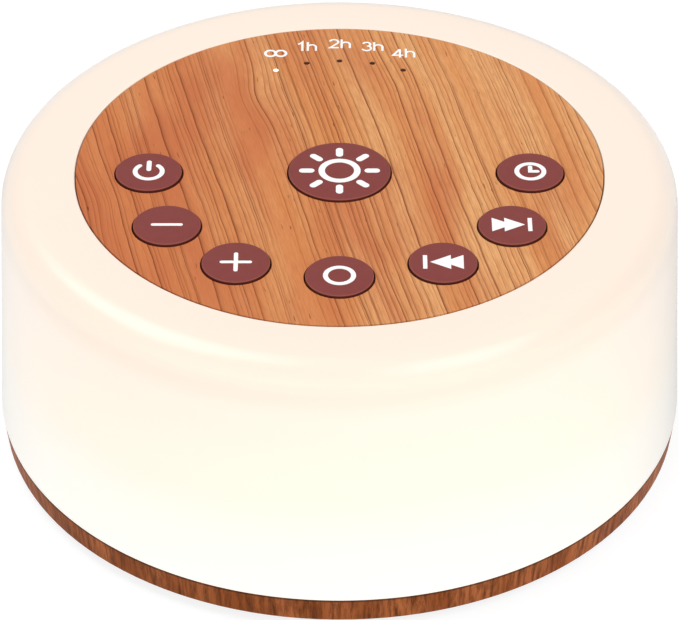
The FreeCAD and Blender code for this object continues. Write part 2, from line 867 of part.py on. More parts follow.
def speaker_basket():
    """Pressed frame: flat rim with ears, a drum with open windows and a top ring for plate and spider."""
    mouth = surround_outer - surround_lip
    inner_wall = basket_wall_radius - frame_sheet
    wall_top = cone_mouth_z + basket_wall_height
    under = basket_top_z - frame_sheet
    seat_outer = basket_top_radius - spider_seat_inset
    seat_inner = seat_outer - spider_seat_width
    spider_top = spider_z + spider_sheet
    path = [
        (mouth, frame_z),
        (frame_radius, frame_z),
        (frame_radius, cone_mouth_z),
        (basket_wall_radius, cone_mouth_z),
        (basket_wall_radius, wall_top),
        (basket_top_radius, basket_top_z),
        (basket_hole, basket_top_z),
        (basket_hole, under),
        (seat_inner, under),
        (seat_inner, spider_top),
        (seat_outer, spider_top),
        (seat_outer, under),
        (basket_top_radius - frame_sheet / 2, under),
        (inner_wall, wall_top - frame_sheet / 2),
        (inner_wall, cone_mouth_z),
        (mouth, cone_mouth_z),
    ]
    reach = ear_circle - frame_radius + basket_wall_radius - inner_wall + frame_rim
    ears = [rod(ear_radius, frame_z, cone_mouth_z, place) for place in ear_places()]
    necks = [block(width, reach, frame_z, cone_mouth_z, at(ear_circle - reach / 2, angle), angle - 90)
             for angle, width in tab_angles()]
    tip = block(terminal_tab, terminal_depth, frame_z, cone_mouth_z,
                at(frame_radius + terminal_inset, terminal_angle), terminal_angle - 90)
    cuts = [rod(ear_screw_shank + play, frame_z - 1, cone_mouth_z + 1, place) for place in ear_places()]
    low, high = cone_mouth_z + window_low, basket_top_z - window_drop
    for angle, _ in around(basket_windows, 1, 0):
        window = Part.makeCylinder(frame_radius, high - low, V(0, 0, low), UP, window_sweep)
        window.rotate(V(0, 0, 0), UP, angle - window_sweep / 2)
        cuts.append(window.cut(rod(basket_top_radius - spider_seat_inset, low, high)))
    return carved(fused([turned(path), tip] + ears + necks), cuts)


def speaker_cone():
    """Paper cone with a flat glued rim and a collar that grips the voice coil's tube."""
    low = cone_mouth_z
    high = cone_neck_z
    neck = coil_outer + glue
    rim = cone_mouth + surround_lip
    path = [
        (cone_mouth, low),
        (rim, low),
        (rim, low + cone_sheet),
        (cone_mouth, low + cone_sheet),
        (neck + cone_sheet, high + cone_sheet),
        (neck + cone_sheet, high + collar_height),
        (neck, high + collar_height),
        (neck, high),
    ]
    return turned(path)


def coil_former():
    """Voice coil tube, glued in the cone's neck and hung in the magnet's gap."""
    return ring(pole_radius + pole_play, coil_outer, cone_neck_z, plate_top_z + coil_overhang)


def dust_cap():
    """Domed cap glued on the cone's front, which closes its neck."""
    slope = cone_depth / (cone_mouth - coil_outer - glue)
    base_z = cone_mouth_z + (cone_mouth - cap_radius) * slope - glue
    half = cap_radius - glue
    sphere_radius = (half ** 2 + cap_rise ** 2) / (2 * cap_rise)
    centre = V(0, 0, base_z - cap_rise + sphere_radius)
    dome = Part.makeSphere(sphere_radius, centre).cut(Part.makeSphere(sphere_radius - cone_sheet, centre))
    return dome.common(rod(half + 1, base_z - cap_rise - 1, base_z))


def speaker_surround():
    """Rubber ring between the cone's rim and the frame, with a half-roll that lets the cone move."""
    low = cone_mouth_z + cone_sheet
    high = low + surround_sheet
    roll = surround_width / 2
    centre = (surround_outer - roll, low)
    lift = math.degrees(math.asin(surround_sheet / (roll + surround_sheet)))
    half = (roll + surround_sheet) * math.cos(math.radians(lift))
    lip_inner = cone_mouth + glue
    lip_outer = surround_outer + surround_lip
    path = [
        (lip_inner, low),
        (surround_outer - surround_width, low),
        arc(centre, roll, 180, 0),
        (lip_outer, low),
        (lip_outer, high),
        (centre[0] + half, high),
        arc(centre, roll + surround_sheet, lift, 180 - lift),
        (lip_inner, high),
    ]
    return turned(path)


def surround_seat():
    """Cardboard ring that lifts the surround's outer lip level with the cone's rim."""
    low = cone_mouth_z
    return ring(surround_outer, surround_outer + surround_lip, low, low + cone_sheet)


def speaker_spider():
    """Corrugated cloth disc that centres the coil: waves between its tube and the basket's top ring."""
    low = spider_z
    inner = coil_outer + glue
    outer = basket_top_radius - spider_seat_inset
    flat = outer - spider_seat_width
    pitch = (flat - inner) / (2 * spider_rings)
    under = [(inner, low)]
    over = []
    for n in range(2 * spider_rings):
        r = inner + n * pitch
        lift = spider_wave if n % 2 == 0 else -spider_wave
        under.append(((r + pitch / 2, low + lift), (r + pitch, low)))
        over.append(((r + pitch / 2, low + lift + spider_sheet), (r, low + spider_sheet)))
    rim = [(outer, low), (outer, low + spider_sheet), (flat, low + spider_sheet)]
    return turned(under + rim + over[::-1])


def front_plate():
    return ring(gap_outer, plate_radius, basket_top_z, plate_top_z)


def speaker_magnet():
    return ring(gap_outer + magnet_room, magnet_radius, plate_top_z, yoke_z)


def magnet_yoke():
    """Back plate with the pole that fills the middle of the coil."""
    plate = rod(plate_radius, yoke_z, yoke_z + yoke_thickness)
    return fused([plate, rod(pole_radius, basket_top_z, yoke_z)])


def speaker_gasket():
    return ring(gasket_inner, frame_radius - play, cover_top_z, frame_z)


def grille_cloth():
    return rod(gasket_inner - play, cover_top_z, cover_top_z + cloth_thickness)


def speaker_screws():
    return group(screw(place, frame_z + frame_sheet, ear_screw_depth, ear_screw_shank,
                       ear_screw_head, ear_screw_head_height, points_up=False)
                 for place in ear_places())


# Power inlet

def wall_layer(outer_depth, inner_depth):
    """The solid between two surfaces that lie at these depths inside the shell's side."""
    low, high = seam_z, rim_z - shoulder_round
    return turned([
        (wall_radius(low, inner_depth), low),
        (wall_radius(low, outer_depth), low),
        (wall_radius(high, outer_depth), high),
        (wall_radius(high, inner_depth), high),
    ])


def inlet_face():
    """Where the shell's back face lies at the inlet's height."""
    return wall_radius(inlet_height)


def inlet_bezel():
    """Insert flush with the shell's back: a lip behind the wall, a shallow dish and the socket's slot."""
    lip_at = shell_wall + thread_play
    plug = inlet_window().common(wall_layer(0, lip_at + 0.3))
    lip = inlet_window(bezel_lip).common(wall_layer(lip_at, lip_at + bezel_lip_thickness))
    face = inlet_face()
    dish = round_slot(bezel_dish_width, bezel_dish_height, bezel_dish_round, face - bezel_dish,
                      face + 1, inlet_height)
    slot = round_slot(socket_width + 2 * play, socket_thickness + 2 * play,
                      socket_round + play, shell_bore - socket_length, face + 1, inlet_height)
    return carved(fused([plug, lip]), [dish, slot])


def usb_socket():
    """Drawn steel socket shell, open at its mouth."""
    mouth = inlet_face() - socket_inset
    back = mouth - socket_length
    outer = round_slot(socket_width, socket_thickness, socket_round, back, mouth, inlet_height)
    hollow = round_slot(socket_width - 2 * socket_sheet, socket_thickness - 2 * socket_sheet,
                        socket_round - socket_sheet, back + socket_sheet, mouth + 1, inlet_height)
    return outer.cut(hollow)


def usb_tongue():
    """Contact tongue on the block that fills the socket's back."""
    back = inlet_face() - socket_inset - socket_length + socket_sheet
    block_depth = socket_length - 2 * socket_sheet - tongue_length
    fill = round_slot(socket_width - 2 * socket_sheet, socket_thickness - 2 * socket_sheet,
                      socket_round - socket_sheet, back, back + block_depth, inlet_height)
    tip = Part.makeBox(tongue_width, tongue_length, tongue_thickness,
                       V(-tongue_width / 2, back + block_depth, inlet_height - tongue_thickness / 2))
    return fused([fill, tip])


def power_board():
    """Small board on two posts behind the inlet, with the socket on its outer end."""
    low = power_board_top_z - power_board_thickness
    middle = (power_board_inner + power_board_outer) / 2
    plate = block(power_board_width, power_board_outer - power_board_inner, low,
                  power_board_top_z, V(0, middle, 0))
    return carved(plate, [rod(board_screw_shank + play, low - 1, power_board_top_z + 1, place)
                          for place in power_posts()])


def power_board_screws():
    depth = power_board_top_z - flange_top_z - 0.8
    return group(screw(place, power_board_top_z, depth, board_screw_shank,
                       board_screw_head, board_screw_head_height, points_up=False)
                 for place in power_posts())


def power_parts():
    return group(chip_blocks(power_chips, power_board_top_z, 1, power_board_inner))


# Leads between the boards

def lead(points, radius=lead_radius):
    """A wire through these points: straight runs joined by tangent arcs as large as the runs allow."""
    edges = []
    here = points[0]
    for before, corner, after in zip(points, points[1:], points[2:]):
        into = (corner - before).normalize()
        out = (after - corner).normalize()
        turn = into.getAngle(out)
        shorter = min(before.distanceToPoint(corner), corner.distanceToPoint(after))
        reach = 0.45 * shorter
        bend = reach / math.tan(turn / 2)
        first = corner - into * reach
        last = corner + out * reach
        inward = (out - into).normalize()
        centre = corner + inward * (bend / math.cos(turn / 2))
        middle = centre - inward * bend
        edges.append(Part.makeLine(here, first))
        edges.append(Part.Arc(first, middle, last).toShape())
        here = last
    edges.append(Part.makeLine(here, points[-1]))
    spine = Part.Wire(edges)
    circle = Part.makeCircle(radius, points[0], points[1] - points[0])
    return spine.makePipeShell([Part.Wire([circle])], True, False)


def pair(points, across):
    """Two parallel leads, half a pitch to each side of a route."""
    step = V(across.x, across.y, across.z).normalize() * (lead_pitch / 2)
    return group(lead([p + step * side for p in points]) for side in (-1, 1))


def hanging_header(place, angle):
    """Connector under the key board, where its leads come up from below."""
    low = board_under_z - connector_height
    return block(connector_along, connector_across, low, board_under_z, place, angle - 90)


def standing_header(place, base, angle):
    return block(connector_along, connector_across, base, base + header_height, place, angle - 90)


def power_header_place():
    return V(power_lead_x, power_board_inner + power_header_inset, 0)


def power_socket_place():
    """On the key board, straight above the power leads."""
    return V(power_lead_x, math.sqrt(outer_connector_circle ** 2 - power_lead_x ** 2), 0)


def terminal_place():
    return at(frame_radius + terminal_inset, terminal_angle)


def terminal_top_z():
    return cone_mouth_z + terminal_thickness + tab_height


def speaker_terminals():
    """A strip on the basket's tab with two upright solder tabs."""
    top = cone_mouth_z + terminal_thickness
    turn = terminal_angle - 90
    strip = block(4 * lead_pitch, terminal_depth, cone_mouth_z, top, terminal_place(), turn)
    across = at(lead_pitch / 2, turn)
    tabs = [block(2 * tab_thickness, tab_thickness, top, terminal_top_z(),
                  terminal_place() + across * side, turn) for side in (-1, 1)]
    return group([strip] + tabs)


def lead_connectors():
    """White connector housings on the three boards."""
    turn = light_lead_angle
    return group([
        hanging_header(at(slot_circle, terminal_angle), terminal_angle),
        hanging_header(power_socket_place(), 90),
        hanging_header(at(outer_connector_circle, turn), turn),
        standing_header(power_header_place(), power_board_top_z, 90),
        standing_header(at(light_circle, turn), flange_top_z + light_board_thickness, turn),
    ])


def climb(start, base, end, angle):
    """A lead pair that leaves one place upwards and enters a connector under the key board."""
    start = start + V(0, 0, base)
    top = board_under_z - connector_height
    end = end + V(0, 0, top)
    first, second = (base + share * (top - base) for share in lead_knees)
    route = [start, V(start.x, start.y, first), V(end.x, end.y, second), end]
    return pair(route, at(1, angle - 90))


def speaker_leads():
    return climb(terminal_place(), terminal_top_z(), at(slot_circle, terminal_angle), terminal_angle)


def power_leads():
    return climb(power_header_place(), power_board_top_z + header_height, power_socket_place(), 90)


def light_leads():
    turn = light_lead_angle
    base = flange_top_z + light_board_thickness + header_height
    return climb(at(light_circle, turn), base, at(outer_connector_circle, turn), turn)


def build():
    parts = {
        "diffuser_shell": diffuser_shell(),
        "top_panel": top_panel(),
        "base_ring": base_ring(),
        "bottom_cover": bottom_cover(),
        "rubber_feet": rubber_feet(),
        "closing_screws": closing_screws(),
        "reflector_tower": reflector_tower(),
        "tower_screws": tower_screws(),
        "night_light_board": night_light_board(),
        "night_light_leds": night_light_leds(),
        "night_light_screws": night_light_screws(),
        "key_board": key_board(),
        "key_board_screws": key_board_screws(),
        "controller_parts": controller_parts(),
        "switch_bodies": switch_bodies(),
        "timer_leds": timer_leds(),
        "timer_light_guide": timer_light_guide(),
        "speaker_basket": speaker_basket(),
        "speaker_cone": speaker_cone(),
        "coil_former": coil_former(),
        "dust_cap": dust_cap(),
        "speaker_surround": speaker_surround(),
        "surround_seat": surround_seat(),
        "speaker_spider": speaker_spider(),
        "front_plate": front_plate(),
        "speaker_magnet": speaker_magnet(),
        "magnet_yoke": magnet_yoke(),
        "speaker_gasket": speaker_gasket(),
        "grille_cloth": grille_cloth(),
        "speaker_screws": speaker_screws(),
        "inlet_bezel": inlet_bezel(),
        "usb_socket": usb_socket(),
        "usb_tongue": usb_tongue(),
        "power_board": power_board(),
        "power_board_screws": power_board_screws(),
        "power_parts": power_parts(),
        "lead_connectors": lead_connectors(),
        "speaker_terminals": speaker_terminals(),
        "speaker_leads": speaker_leads(),
        "power_leads": power_leads(),
        "light_leads": light_leads(),
    }
    for name, centre, radius in key_places():
        parts[name + "_key"] = keycap(centre, radius)
        parts[name + "_plunger"] = plunger(centre)
    return parts


os.makedirs("parts", exist_ok=True)
for node, shape in build().items():
    shape.exportStep("parts/" + node + ".step")
    bad = [s for s in shape.Solids if not s.isValid() or s.Volume <= 0]
    print(node, len(shape.Solids), "solids", round(shape.Volume, 1), "mm3", "BAD" if bad else "")
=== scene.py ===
# %% [markdown]
# # A bedside sound machine with a night light
#
# A milky shell, lit from inside, stands on a dark wood-look band. A wood-look panel lies flush in its
# top, with eight push keys and five timer lights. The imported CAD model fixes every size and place, and
# this lesson gives it the surfaces that the eye meets: smooth mouldings, printed signs and finishes.

# %% Load the frame
import json
import math

import bmesh
import bpy
import numpy as np
from mathutils import Matrix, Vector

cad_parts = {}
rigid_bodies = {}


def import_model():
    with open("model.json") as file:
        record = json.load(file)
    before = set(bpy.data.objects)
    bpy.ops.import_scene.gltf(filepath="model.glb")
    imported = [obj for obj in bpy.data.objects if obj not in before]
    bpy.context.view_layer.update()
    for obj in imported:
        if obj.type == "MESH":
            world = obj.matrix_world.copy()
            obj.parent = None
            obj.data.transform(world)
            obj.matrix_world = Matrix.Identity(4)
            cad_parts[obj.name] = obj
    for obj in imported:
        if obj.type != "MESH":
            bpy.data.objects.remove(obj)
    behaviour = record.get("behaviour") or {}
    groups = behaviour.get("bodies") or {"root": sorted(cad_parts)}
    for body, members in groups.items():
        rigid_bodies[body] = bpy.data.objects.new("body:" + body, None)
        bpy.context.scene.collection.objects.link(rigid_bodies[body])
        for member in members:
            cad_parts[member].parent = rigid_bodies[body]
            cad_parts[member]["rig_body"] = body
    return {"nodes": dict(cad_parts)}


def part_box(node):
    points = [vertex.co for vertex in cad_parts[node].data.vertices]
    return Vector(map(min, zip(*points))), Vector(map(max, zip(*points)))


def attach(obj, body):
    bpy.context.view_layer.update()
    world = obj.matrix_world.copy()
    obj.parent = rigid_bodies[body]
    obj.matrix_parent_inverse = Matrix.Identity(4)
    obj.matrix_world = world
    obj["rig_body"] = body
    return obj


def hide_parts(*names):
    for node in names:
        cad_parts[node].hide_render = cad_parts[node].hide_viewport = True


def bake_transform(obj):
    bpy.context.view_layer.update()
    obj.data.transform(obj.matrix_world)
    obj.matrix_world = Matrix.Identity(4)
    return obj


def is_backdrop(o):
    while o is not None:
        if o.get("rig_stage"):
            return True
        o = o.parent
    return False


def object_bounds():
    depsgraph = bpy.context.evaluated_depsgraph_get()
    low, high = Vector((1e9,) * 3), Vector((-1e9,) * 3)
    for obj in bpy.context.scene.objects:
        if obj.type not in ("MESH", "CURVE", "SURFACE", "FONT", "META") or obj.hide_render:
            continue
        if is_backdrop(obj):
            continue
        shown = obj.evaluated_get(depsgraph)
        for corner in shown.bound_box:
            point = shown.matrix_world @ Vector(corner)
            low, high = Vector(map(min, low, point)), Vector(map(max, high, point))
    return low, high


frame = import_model()
nodes = frame["nodes"]
cad_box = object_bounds()
print("CAD nodes:", len(nodes))

# %% [markdown]
# ## Sizes
#
# Shapes are worked out in millimetres and become metres when a mesh is made. What the frame knows is
# read from its nodes' boxes. Only inner sizes that no box shows, such as a wall's thickness or the
# slant that lets a moulding leave its mould, are written here.

# %% Sizes read from the frame, and the few that it can't give
MM = 0.001


def span(node):
    """Lowest and highest corner of a CAD node, in millimetres."""
    low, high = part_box(node)
    return np.array(low) / MM, np.array(high) / MM


(_, _, seam_z), (shell_foot, _, rim_z) = span("diffuser_shell")
panel_radius = span("top_panel")[1][0]
lean = math.tan(math.radians(2.7))
shell_wall = 2.2
shoulder_round = 5.0
panel_gap = 0.15
panel_under_z = rim_z - 2.0
print("shell", round(shell_foot, 2), "seam", round(seam_z, 2), "rim", round(rim_z, 2))

# %% [markdown]
# ## Surfaces as grids
#
# Most mouldings here are a grid: one parameter runs along a profile and the other round it. Blender's
# own Spin tool could turn a profile too, but a whole array of points is shorter to write, and any part
# of it can be bent or left open. Profiles get true arcs at their corners, because no moulded edge is
# razor sharp, and the light that such a round edge catches is what makes plastic look like plastic.


# %% From a grid to a mesh
def cells(shape, start, wrap, keep=None):
    """Corner numbers of a grid's faces. A cell joins a point to its neighbours in the next row and
    column, and a wrapped direction joins the last line of points to the first."""
    index = start + np.arange(shape[0] * shape[1]).reshape(shape)
    if wrap[0]:
        index = np.vstack([index, index[:1]])
    if wrap[1]:
        index = np.hstack([index, index[:, :1]])
    faces = np.stack([index[:-1, :-1], index[:-1, 1:], index[1:, 1:], index[1:, :-1]], axis=-1)
    return faces.reshape(-1, 4) if keep is None else faces[keep]


def finish_mesh(mesh, sharp):
    """Joins points that coincide, turns the faces outwards, and shades smooth up to an angle."""
    work = bmesh.new()
    work.from_mesh(mesh)
    bmesh.ops.remove_doubles(work, verts=work.verts, dist=1e-7)
    bmesh.ops.recalc_face_normals(work, faces=work.faces)
    work.to_mesh(mesh)
    work.free()
    mesh.shade_smooth()
    mesh.set_sharp_from_angle(angle=math.radians(sharp))


def piece(name, grids, body="housing", sharp=40.0):
    """One object made of grids, each (points, wrap) or (points, wrap, keep), that rides on a body."""
    points, faces, start = [], [], 0
    for grid, wrap, *keep in grids:
        points.append(grid.reshape(-1, 3))
        faces += cells(grid.shape[:2], start, wrap, *keep).tolist()
        start += len(points[-1])
    mesh = bpy.data.meshes.new(name)
    mesh.from_pydata((np.concatenate(points) * MM).tolist(), [], faces)
    finish_mesh(mesh, sharp)
    thing = bpy.data.objects.new(name, mesh)
    bpy.context.scene.collection.objects.link(thing)
    if body:
        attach(thing, body)
    return thing


# %% Profiles with rounded corners, turned round an axis
def rounded(corners, steps=8):
    """Points of a polygon whose corners (r, z, radius) are arcs tangent to both sides. An arc's centre
    lies one radius to the inside of the incoming side, and its points turn about it in even steps."""
    path = []
    before, after = corners[-1:] + corners[:-1], corners[1:] + corners[:1]
    for (*a, _), (*b, radius), (*c, _) in zip(before, corners, after):
        a, b, c = np.array(a), np.array(b), np.array(c)
        if not radius:
            path.append(b)
            continue
        into = (b - a) / np.linalg.norm(b - a)
        out = (c - b) / np.linalg.norm(c - b)
        turn = math.atan2(into[0] * out[1] - into[1] * out[0], into @ out)
        first = b - into * radius * math.tan(abs(turn) / 2)
        spoke = np.array([into[1], -into[0]]) * radius * math.copysign(1, turn)
        angles = np.linspace(0, turn, steps)[:, None]
        across = np.array([-spoke[1], spoke[0]])
        path.extend(first - spoke + spoke * np.cos(angles) + across * np.sin(angles))
    return np.array(path)


def lathe(profile, columns=192, centre=(0.0, 0.0)):
    """Turns a profile round a vertical axis: (r, z) at angle a is (cx + r cos a, cy + r sin a, z)."""
    r, z = profile[:, 0, None], profile[:, 1, None]
    angle = np.linspace(0, 2 * np.pi, columns, endpoint=False)[None, :]
    flat = np.zeros_like(angle)
    return np.stack([centre[0] + r * np.cos(angle), centre[1] + r * np.sin(angle), z + flat], axis=-1)


# %% [markdown]
# ## Nodes
#
# A finish is a small graph of shader nodes. Colours are written as the sRGB hex values that one would
# pick by eye, and shaders want linear light, so one function undoes the sRGB curve. One more adds a
# node with its settings and its links, and that is all the machinery the finishes need.


# %% Colours and nodes
def linear(hex_colour):
    """An sRGB hex colour as linear values: each channel loses the sRGB curve."""
    srgb = np.array([int(hex_colour[i:i + 2], 16) for i in (1, 3, 5)]) / 255
    values = np.where(srgb <= 0.04045, srgb / 12.92, ((srgb + 0.055) / 1.055) ** 2.4)
    return (*values.tolist(), 1.0)


def add(tree, kind, sockets=(), **settings):
    """Adds a shader node: settings are its own, and sockets gives its inputs by name or number, each a
    plain value or another node's output."""
    node = tree.nodes.new("ShaderNode" + kind)
    for name, value in settings.items():
        setattr(node, name, value)
    for key, value in dict(sockets).items():
        if isinstance(value, bpy.types.NodeSocket):
            tree.links.new(value, node.inputs[key])
        else:
            node.inputs[key].default_value = value
    return node


def finish(name, **values):
    """A new material's node tree and its Principled shader, with plain values set on the shader."""
    material = bpy.data.materials.new(name)
    material.use_nodes = True
    tree = material.node_tree
    shader = tree.nodes["Principled BSDF"]
    for key, value in values.items():
        shader.inputs[key.replace("_", " ")].default_value = value
    return material, tree, shader


def wear(thing, material):
    """Gives an object this one material."""
    slots = thing.data.materials
    if not slots:
        slots.append(material)
    for number in range(len(slots)):
        slots[number] = material


def in_millimetres(tree, turn=0.0):
    """The surface's own place in millimetres, turned about the vertical axis."""
    place = add(tree, "TexCoord").outputs["Object"]
    sockets = {"Vector": place, "Rotation": (0, 0, turn), "Scale": (1 / MM,) * 3}
    return add(tree, "Mapping", sockets).outputs[0]


def blend_colours(tree, share, first, second, blend_type="MIX"):
    """Mixes two colours, each a hex value or a node's output, by a share."""
    colours = [c if isinstance(c, bpy.types.NodeSocket) else linear(c) for c in (first, second)]
    return add(tree, "Mix", {0: share, 6: colours[0], 7: colours[1]}, data_type="RGBA",
               blend_type=blend_type).outputs[2]


# %% [markdown]
# ## The shell
#
# The real shell is opal polycarbonate: clear plastic with a little white filler, so that a lamp inside
# lights it evenly. It is one turned profile with a soft shoulder. The power inlet's window interrupts
# it at the back. A Boolean would cut that window, but leaves long slivers that shade badly, so the
# grid leaves a patch of cells open there, and a second grid runs from the patch's border to the
# window's outline, through the wall and out again on the inside.

# %% Shell profile
inlet_z = (span("usb_socket")[0][2] + span("usb_socket")[1][2]) / 2
patch_height = 12.8
patch_columns = 11
shell_columns = 360
patch_z = np.linspace(inlet_z - patch_height / 2, inlet_z + patch_height / 2, 13)
opening_radius = panel_radius + panel_gap
ledge_radius = opening_radius - 1.75
ledge_root = opening_radius + 1.2
ledge_under_z = panel_under_z - 1.6
inner_roof_z = rim_z - shell_wall


def wall(z, depth=0.0):
    """Radius of the leaning side at a height, that far inside its surface."""
    return shell_foot - (z - seam_z) * lean - depth


shell_corners = [
    (wall(seam_z), seam_z, 0.3),
    *[(wall(z), z, 0) for z in patch_z],
    (wall(rim_z), rim_z, shoulder_round),
    (opening_radius, rim_z, 0.3),
    (opening_radius, panel_under_z, 0.1),
    (ledge_radius, panel_under_z, 0.2),
    (ledge_radius, ledge_under_z, 0.2),
    (ledge_root, ledge_under_z, 0.2),
    (ledge_root, inner_roof_z, 0.3),
    (wall(inner_roof_z, shell_wall), inner_roof_z, shoulder_round - shell_wall),
    *[(wall(z, shell_wall), z, 0) for z in patch_z[::-1]],
    (wall(seam_z, shell_wall), seam_z, 0.2),
]
arc_steps = 10
shell_profile = rounded(shell_corners, arc_steps)
print("shell profile points:", len(shell_profile))


# %% Window in the shell's back
def on_wall(xz, depth):
    """Carries (x, z) straight back on to the leaning wall: y is what x leaves of the radius there."""
    x, z = xz.T
    return np.stack([x, np.sqrt(wall(z, depth) ** 2 - x ** 2), z], axis=-1)


def to_slot(xz, width, height, corner):
    """Moves points to a rounded rectangle's outline: each is clamped to the core that the corner
    radius leaves, and steps that radius back towards where it was."""
    middle = np.array([0, inlet_z])
    core = np.array([width / 2 - corner, height / 2 - corner])
    held = np.clip(xz - middle, -core, core)
    away = xz - middle - held
    return middle + held + corner * away / np.linalg.norm(away, axis=1, keepdims=True)


back = shell_columns // 4
patch = slice(back - patch_columns, back + patch_columns)
shell_angles = np.linspace(0, 2 * np.pi, shell_columns, endpoint=False)
edge_angles = shell_angles[back - patch_columns:back + patch_columns + 1]
low_z, high_z = patch_z[0], patch_z[-1]
print("cells left open:", 2 * patch_columns, "by", len(patch_z) - 1)


def border(depth):
    """The open patch's border on the wall, as (x, z) points in a loop."""
    foot = [(wall(low_z, depth) * math.cos(a), low_z) for a in edge_angles]
    left = [(wall(z, depth) * math.cos(edge_angles[-1]), z) for z in patch_z[1:-1]]
    head = [(wall(high_z, depth) * math.cos(a), high_z) for a in edge_angles[::-1]]
    right = [(wall(z, depth) * math.cos(edge_angles[0]), z) for z in patch_z[-2:0:-1]]
    return np.array(foot + left + head + right)


# %% The window's rounded edge and the shell's mesh
window_width, window_height, window_corner = 15.2, 8.8, 2.5
window_edge = 0.25


def window_outline(depth, grow):
    """The patch's border moved on to the window's outline, which is this much larger all round."""
    return to_slot(border(depth), window_width + 2 * grow, window_height + 2 * grow, window_corner + grow)


collar = []
for depth, side in ((0.0, 1), (shell_wall, -1)):
    rim = window_outline(depth, window_edge)
    rows = [on_wall(rim + share * (border(depth) - rim), depth) for share in (1, 0.6, 0.3, 0.1, 0)]
    for turn in np.radians([30, 60, 90]):
        outline = window_outline(depth, window_edge * (1 - math.sin(turn)))
        rows.append(on_wall(outline, depth + side * window_edge * (1 - math.cos(turn))))
    collar += rows[::side]
collar = np.array(collar)

open_cells = np.ones((len(shell_profile), shell_columns), bool)
outer_rows = slice(arc_steps, arc_steps + len(patch_z) - 1)
inner_rows = slice(len(shell_profile) - arc_steps - len(patch_z), len(shell_profile) - arc_steps - 1)
open_cells[outer_rows, patch] = False
open_cells[inner_rows, patch] = False

shell = piece("shell", [(lathe(shell_profile, shell_columns), (True, True), open_cells),
                        (collar, (False, True))])
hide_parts("diffuser_shell")

# %% Where the shell shows its light
# 1 on the face that the eye meets and 0 on the inside, the ledge and the window's edges
x, y, z = np.array([vertex.co for vertex in shell.data.vertices]).T / MM
reach = np.hypot(x, y)
on_side = reach > wall(z) - 0.1
on_rim = (z > rim_z - shoulder_round) & (reach > opening_radius + 0.1)
inside = (z < inner_roof_z + 0.1) & (reach < wall(z, shell_wall - 0.2))
shows = (on_side | on_rim) & ~inside
lamp_share = shell.data.attributes.new("lamp_share", "FLOAT", "POINT")
lamp_share.data.foreach_set("value", shows.astype(float))
print("shell faces:", len(shell.data.polygons), "lit corners:", int(shows.sum()))

# %% [markdown]
# ## Opal plastic with a lamp behind it
#
# With the lamp on, the eye sees two kinds of light on the shell: what the room throws on its satin
# surface, and the lamp's own light, which has soaked through the wall. Real scattering inside the
# plastic would need many samples and can't leave Blender, so the lamp's part is an emission, graded by
# height: whitest beside the ring of LEDs near the foot, creamier towards the rim, which only stray
# light reaches. It leaves out the inside, so that no light spills round the panel and the keys, where
# the real ledge is dark. The satin skin is a coat over both, because the lamp's light has to pass it as
# well. Its fine grain scatters light at a slant, which a sheen over all of it stands for: near the
# shell's edge it holds the lamp's light back and gives only the room's soft light in return, and so it
# draws the outline on a white ground. A bump of the same grain spreads the highlights.

# %% Shell finish
opal, tree, shader = finish("opal_polycarbonate_lit", Base_Color=linear("#dacbb3"), Roughness=0.8,
                            Specular_IOR_Level=0.0, Coat_Weight=1.0, Coat_Roughness=0.3, Coat_IOR=1.5,
                            Sheen_Weight=1.0, Sheen_Roughness=0.42, Emission_Strength=1.0)
place = in_millimetres(tree)
height = add(tree, "SeparateXYZ", {0: place}).outputs["Z"]
share = add(tree, "MapRange", {0: height, 1: seam_z, 2: rim_z}).outputs[0]
glow = add(tree, "ValToRGB", {0: share})
ramp = glow.color_ramp
ramp.interpolation = "EASE"
ramp.elements[0].color = linear("#d9dbdc")
ramp.elements[1].position = 1.0
ramp.elements[1].color = linear("#978b8f")
for position, colour in ((0.16, "#d6d8d7"), (0.48, "#d6cec5"), (0.78, "#d3c7c1"), (0.89, "#c9bcb5")):
    ramp.elements.new(position).color = linear(colour)
outer = add(tree, "Attribute", attribute_name="lamp_share").outputs["Fac"]
tree.links.new(blend_colours(tree, outer, "#000000", glow.outputs[0]), shader.inputs["Emission Color"])
# spark-eroded mould: a grain of a quarter of a millimetre
grain = add(tree, "TexNoise", {"Vector": place, "Scale": 4.0, "Detail": 2.0})
bump = add(tree, "Bump", {"Strength": 0.03, "Distance": 0.05 * MM, "Height": grain.outputs[0]})
tree.links.new(bump.outputs[0], shader.inputs["Coat Normal"])
wear(shell, opal)
print("nodes in the shell's finish:", len(tree.nodes))

# %% [markdown]
# ## Wood-look print on the panel
#
# The panel is moulded plastic under a printed foil, as on most such products. A print of cherry wood
# has growth lines: each starts as a thin dark line and fades to one side. They run from back to front,
# a little askew, a few millimetres apart and never quite straight. So a coordinate across the grain is
# bent by slow noise, and by a few swirls where a branch once grew, and then folded into a saw-tooth.
# A power of the saw gives the sharp line with its soft side.

# %% Wood grain
GRAIN_TURN = math.radians(-12)


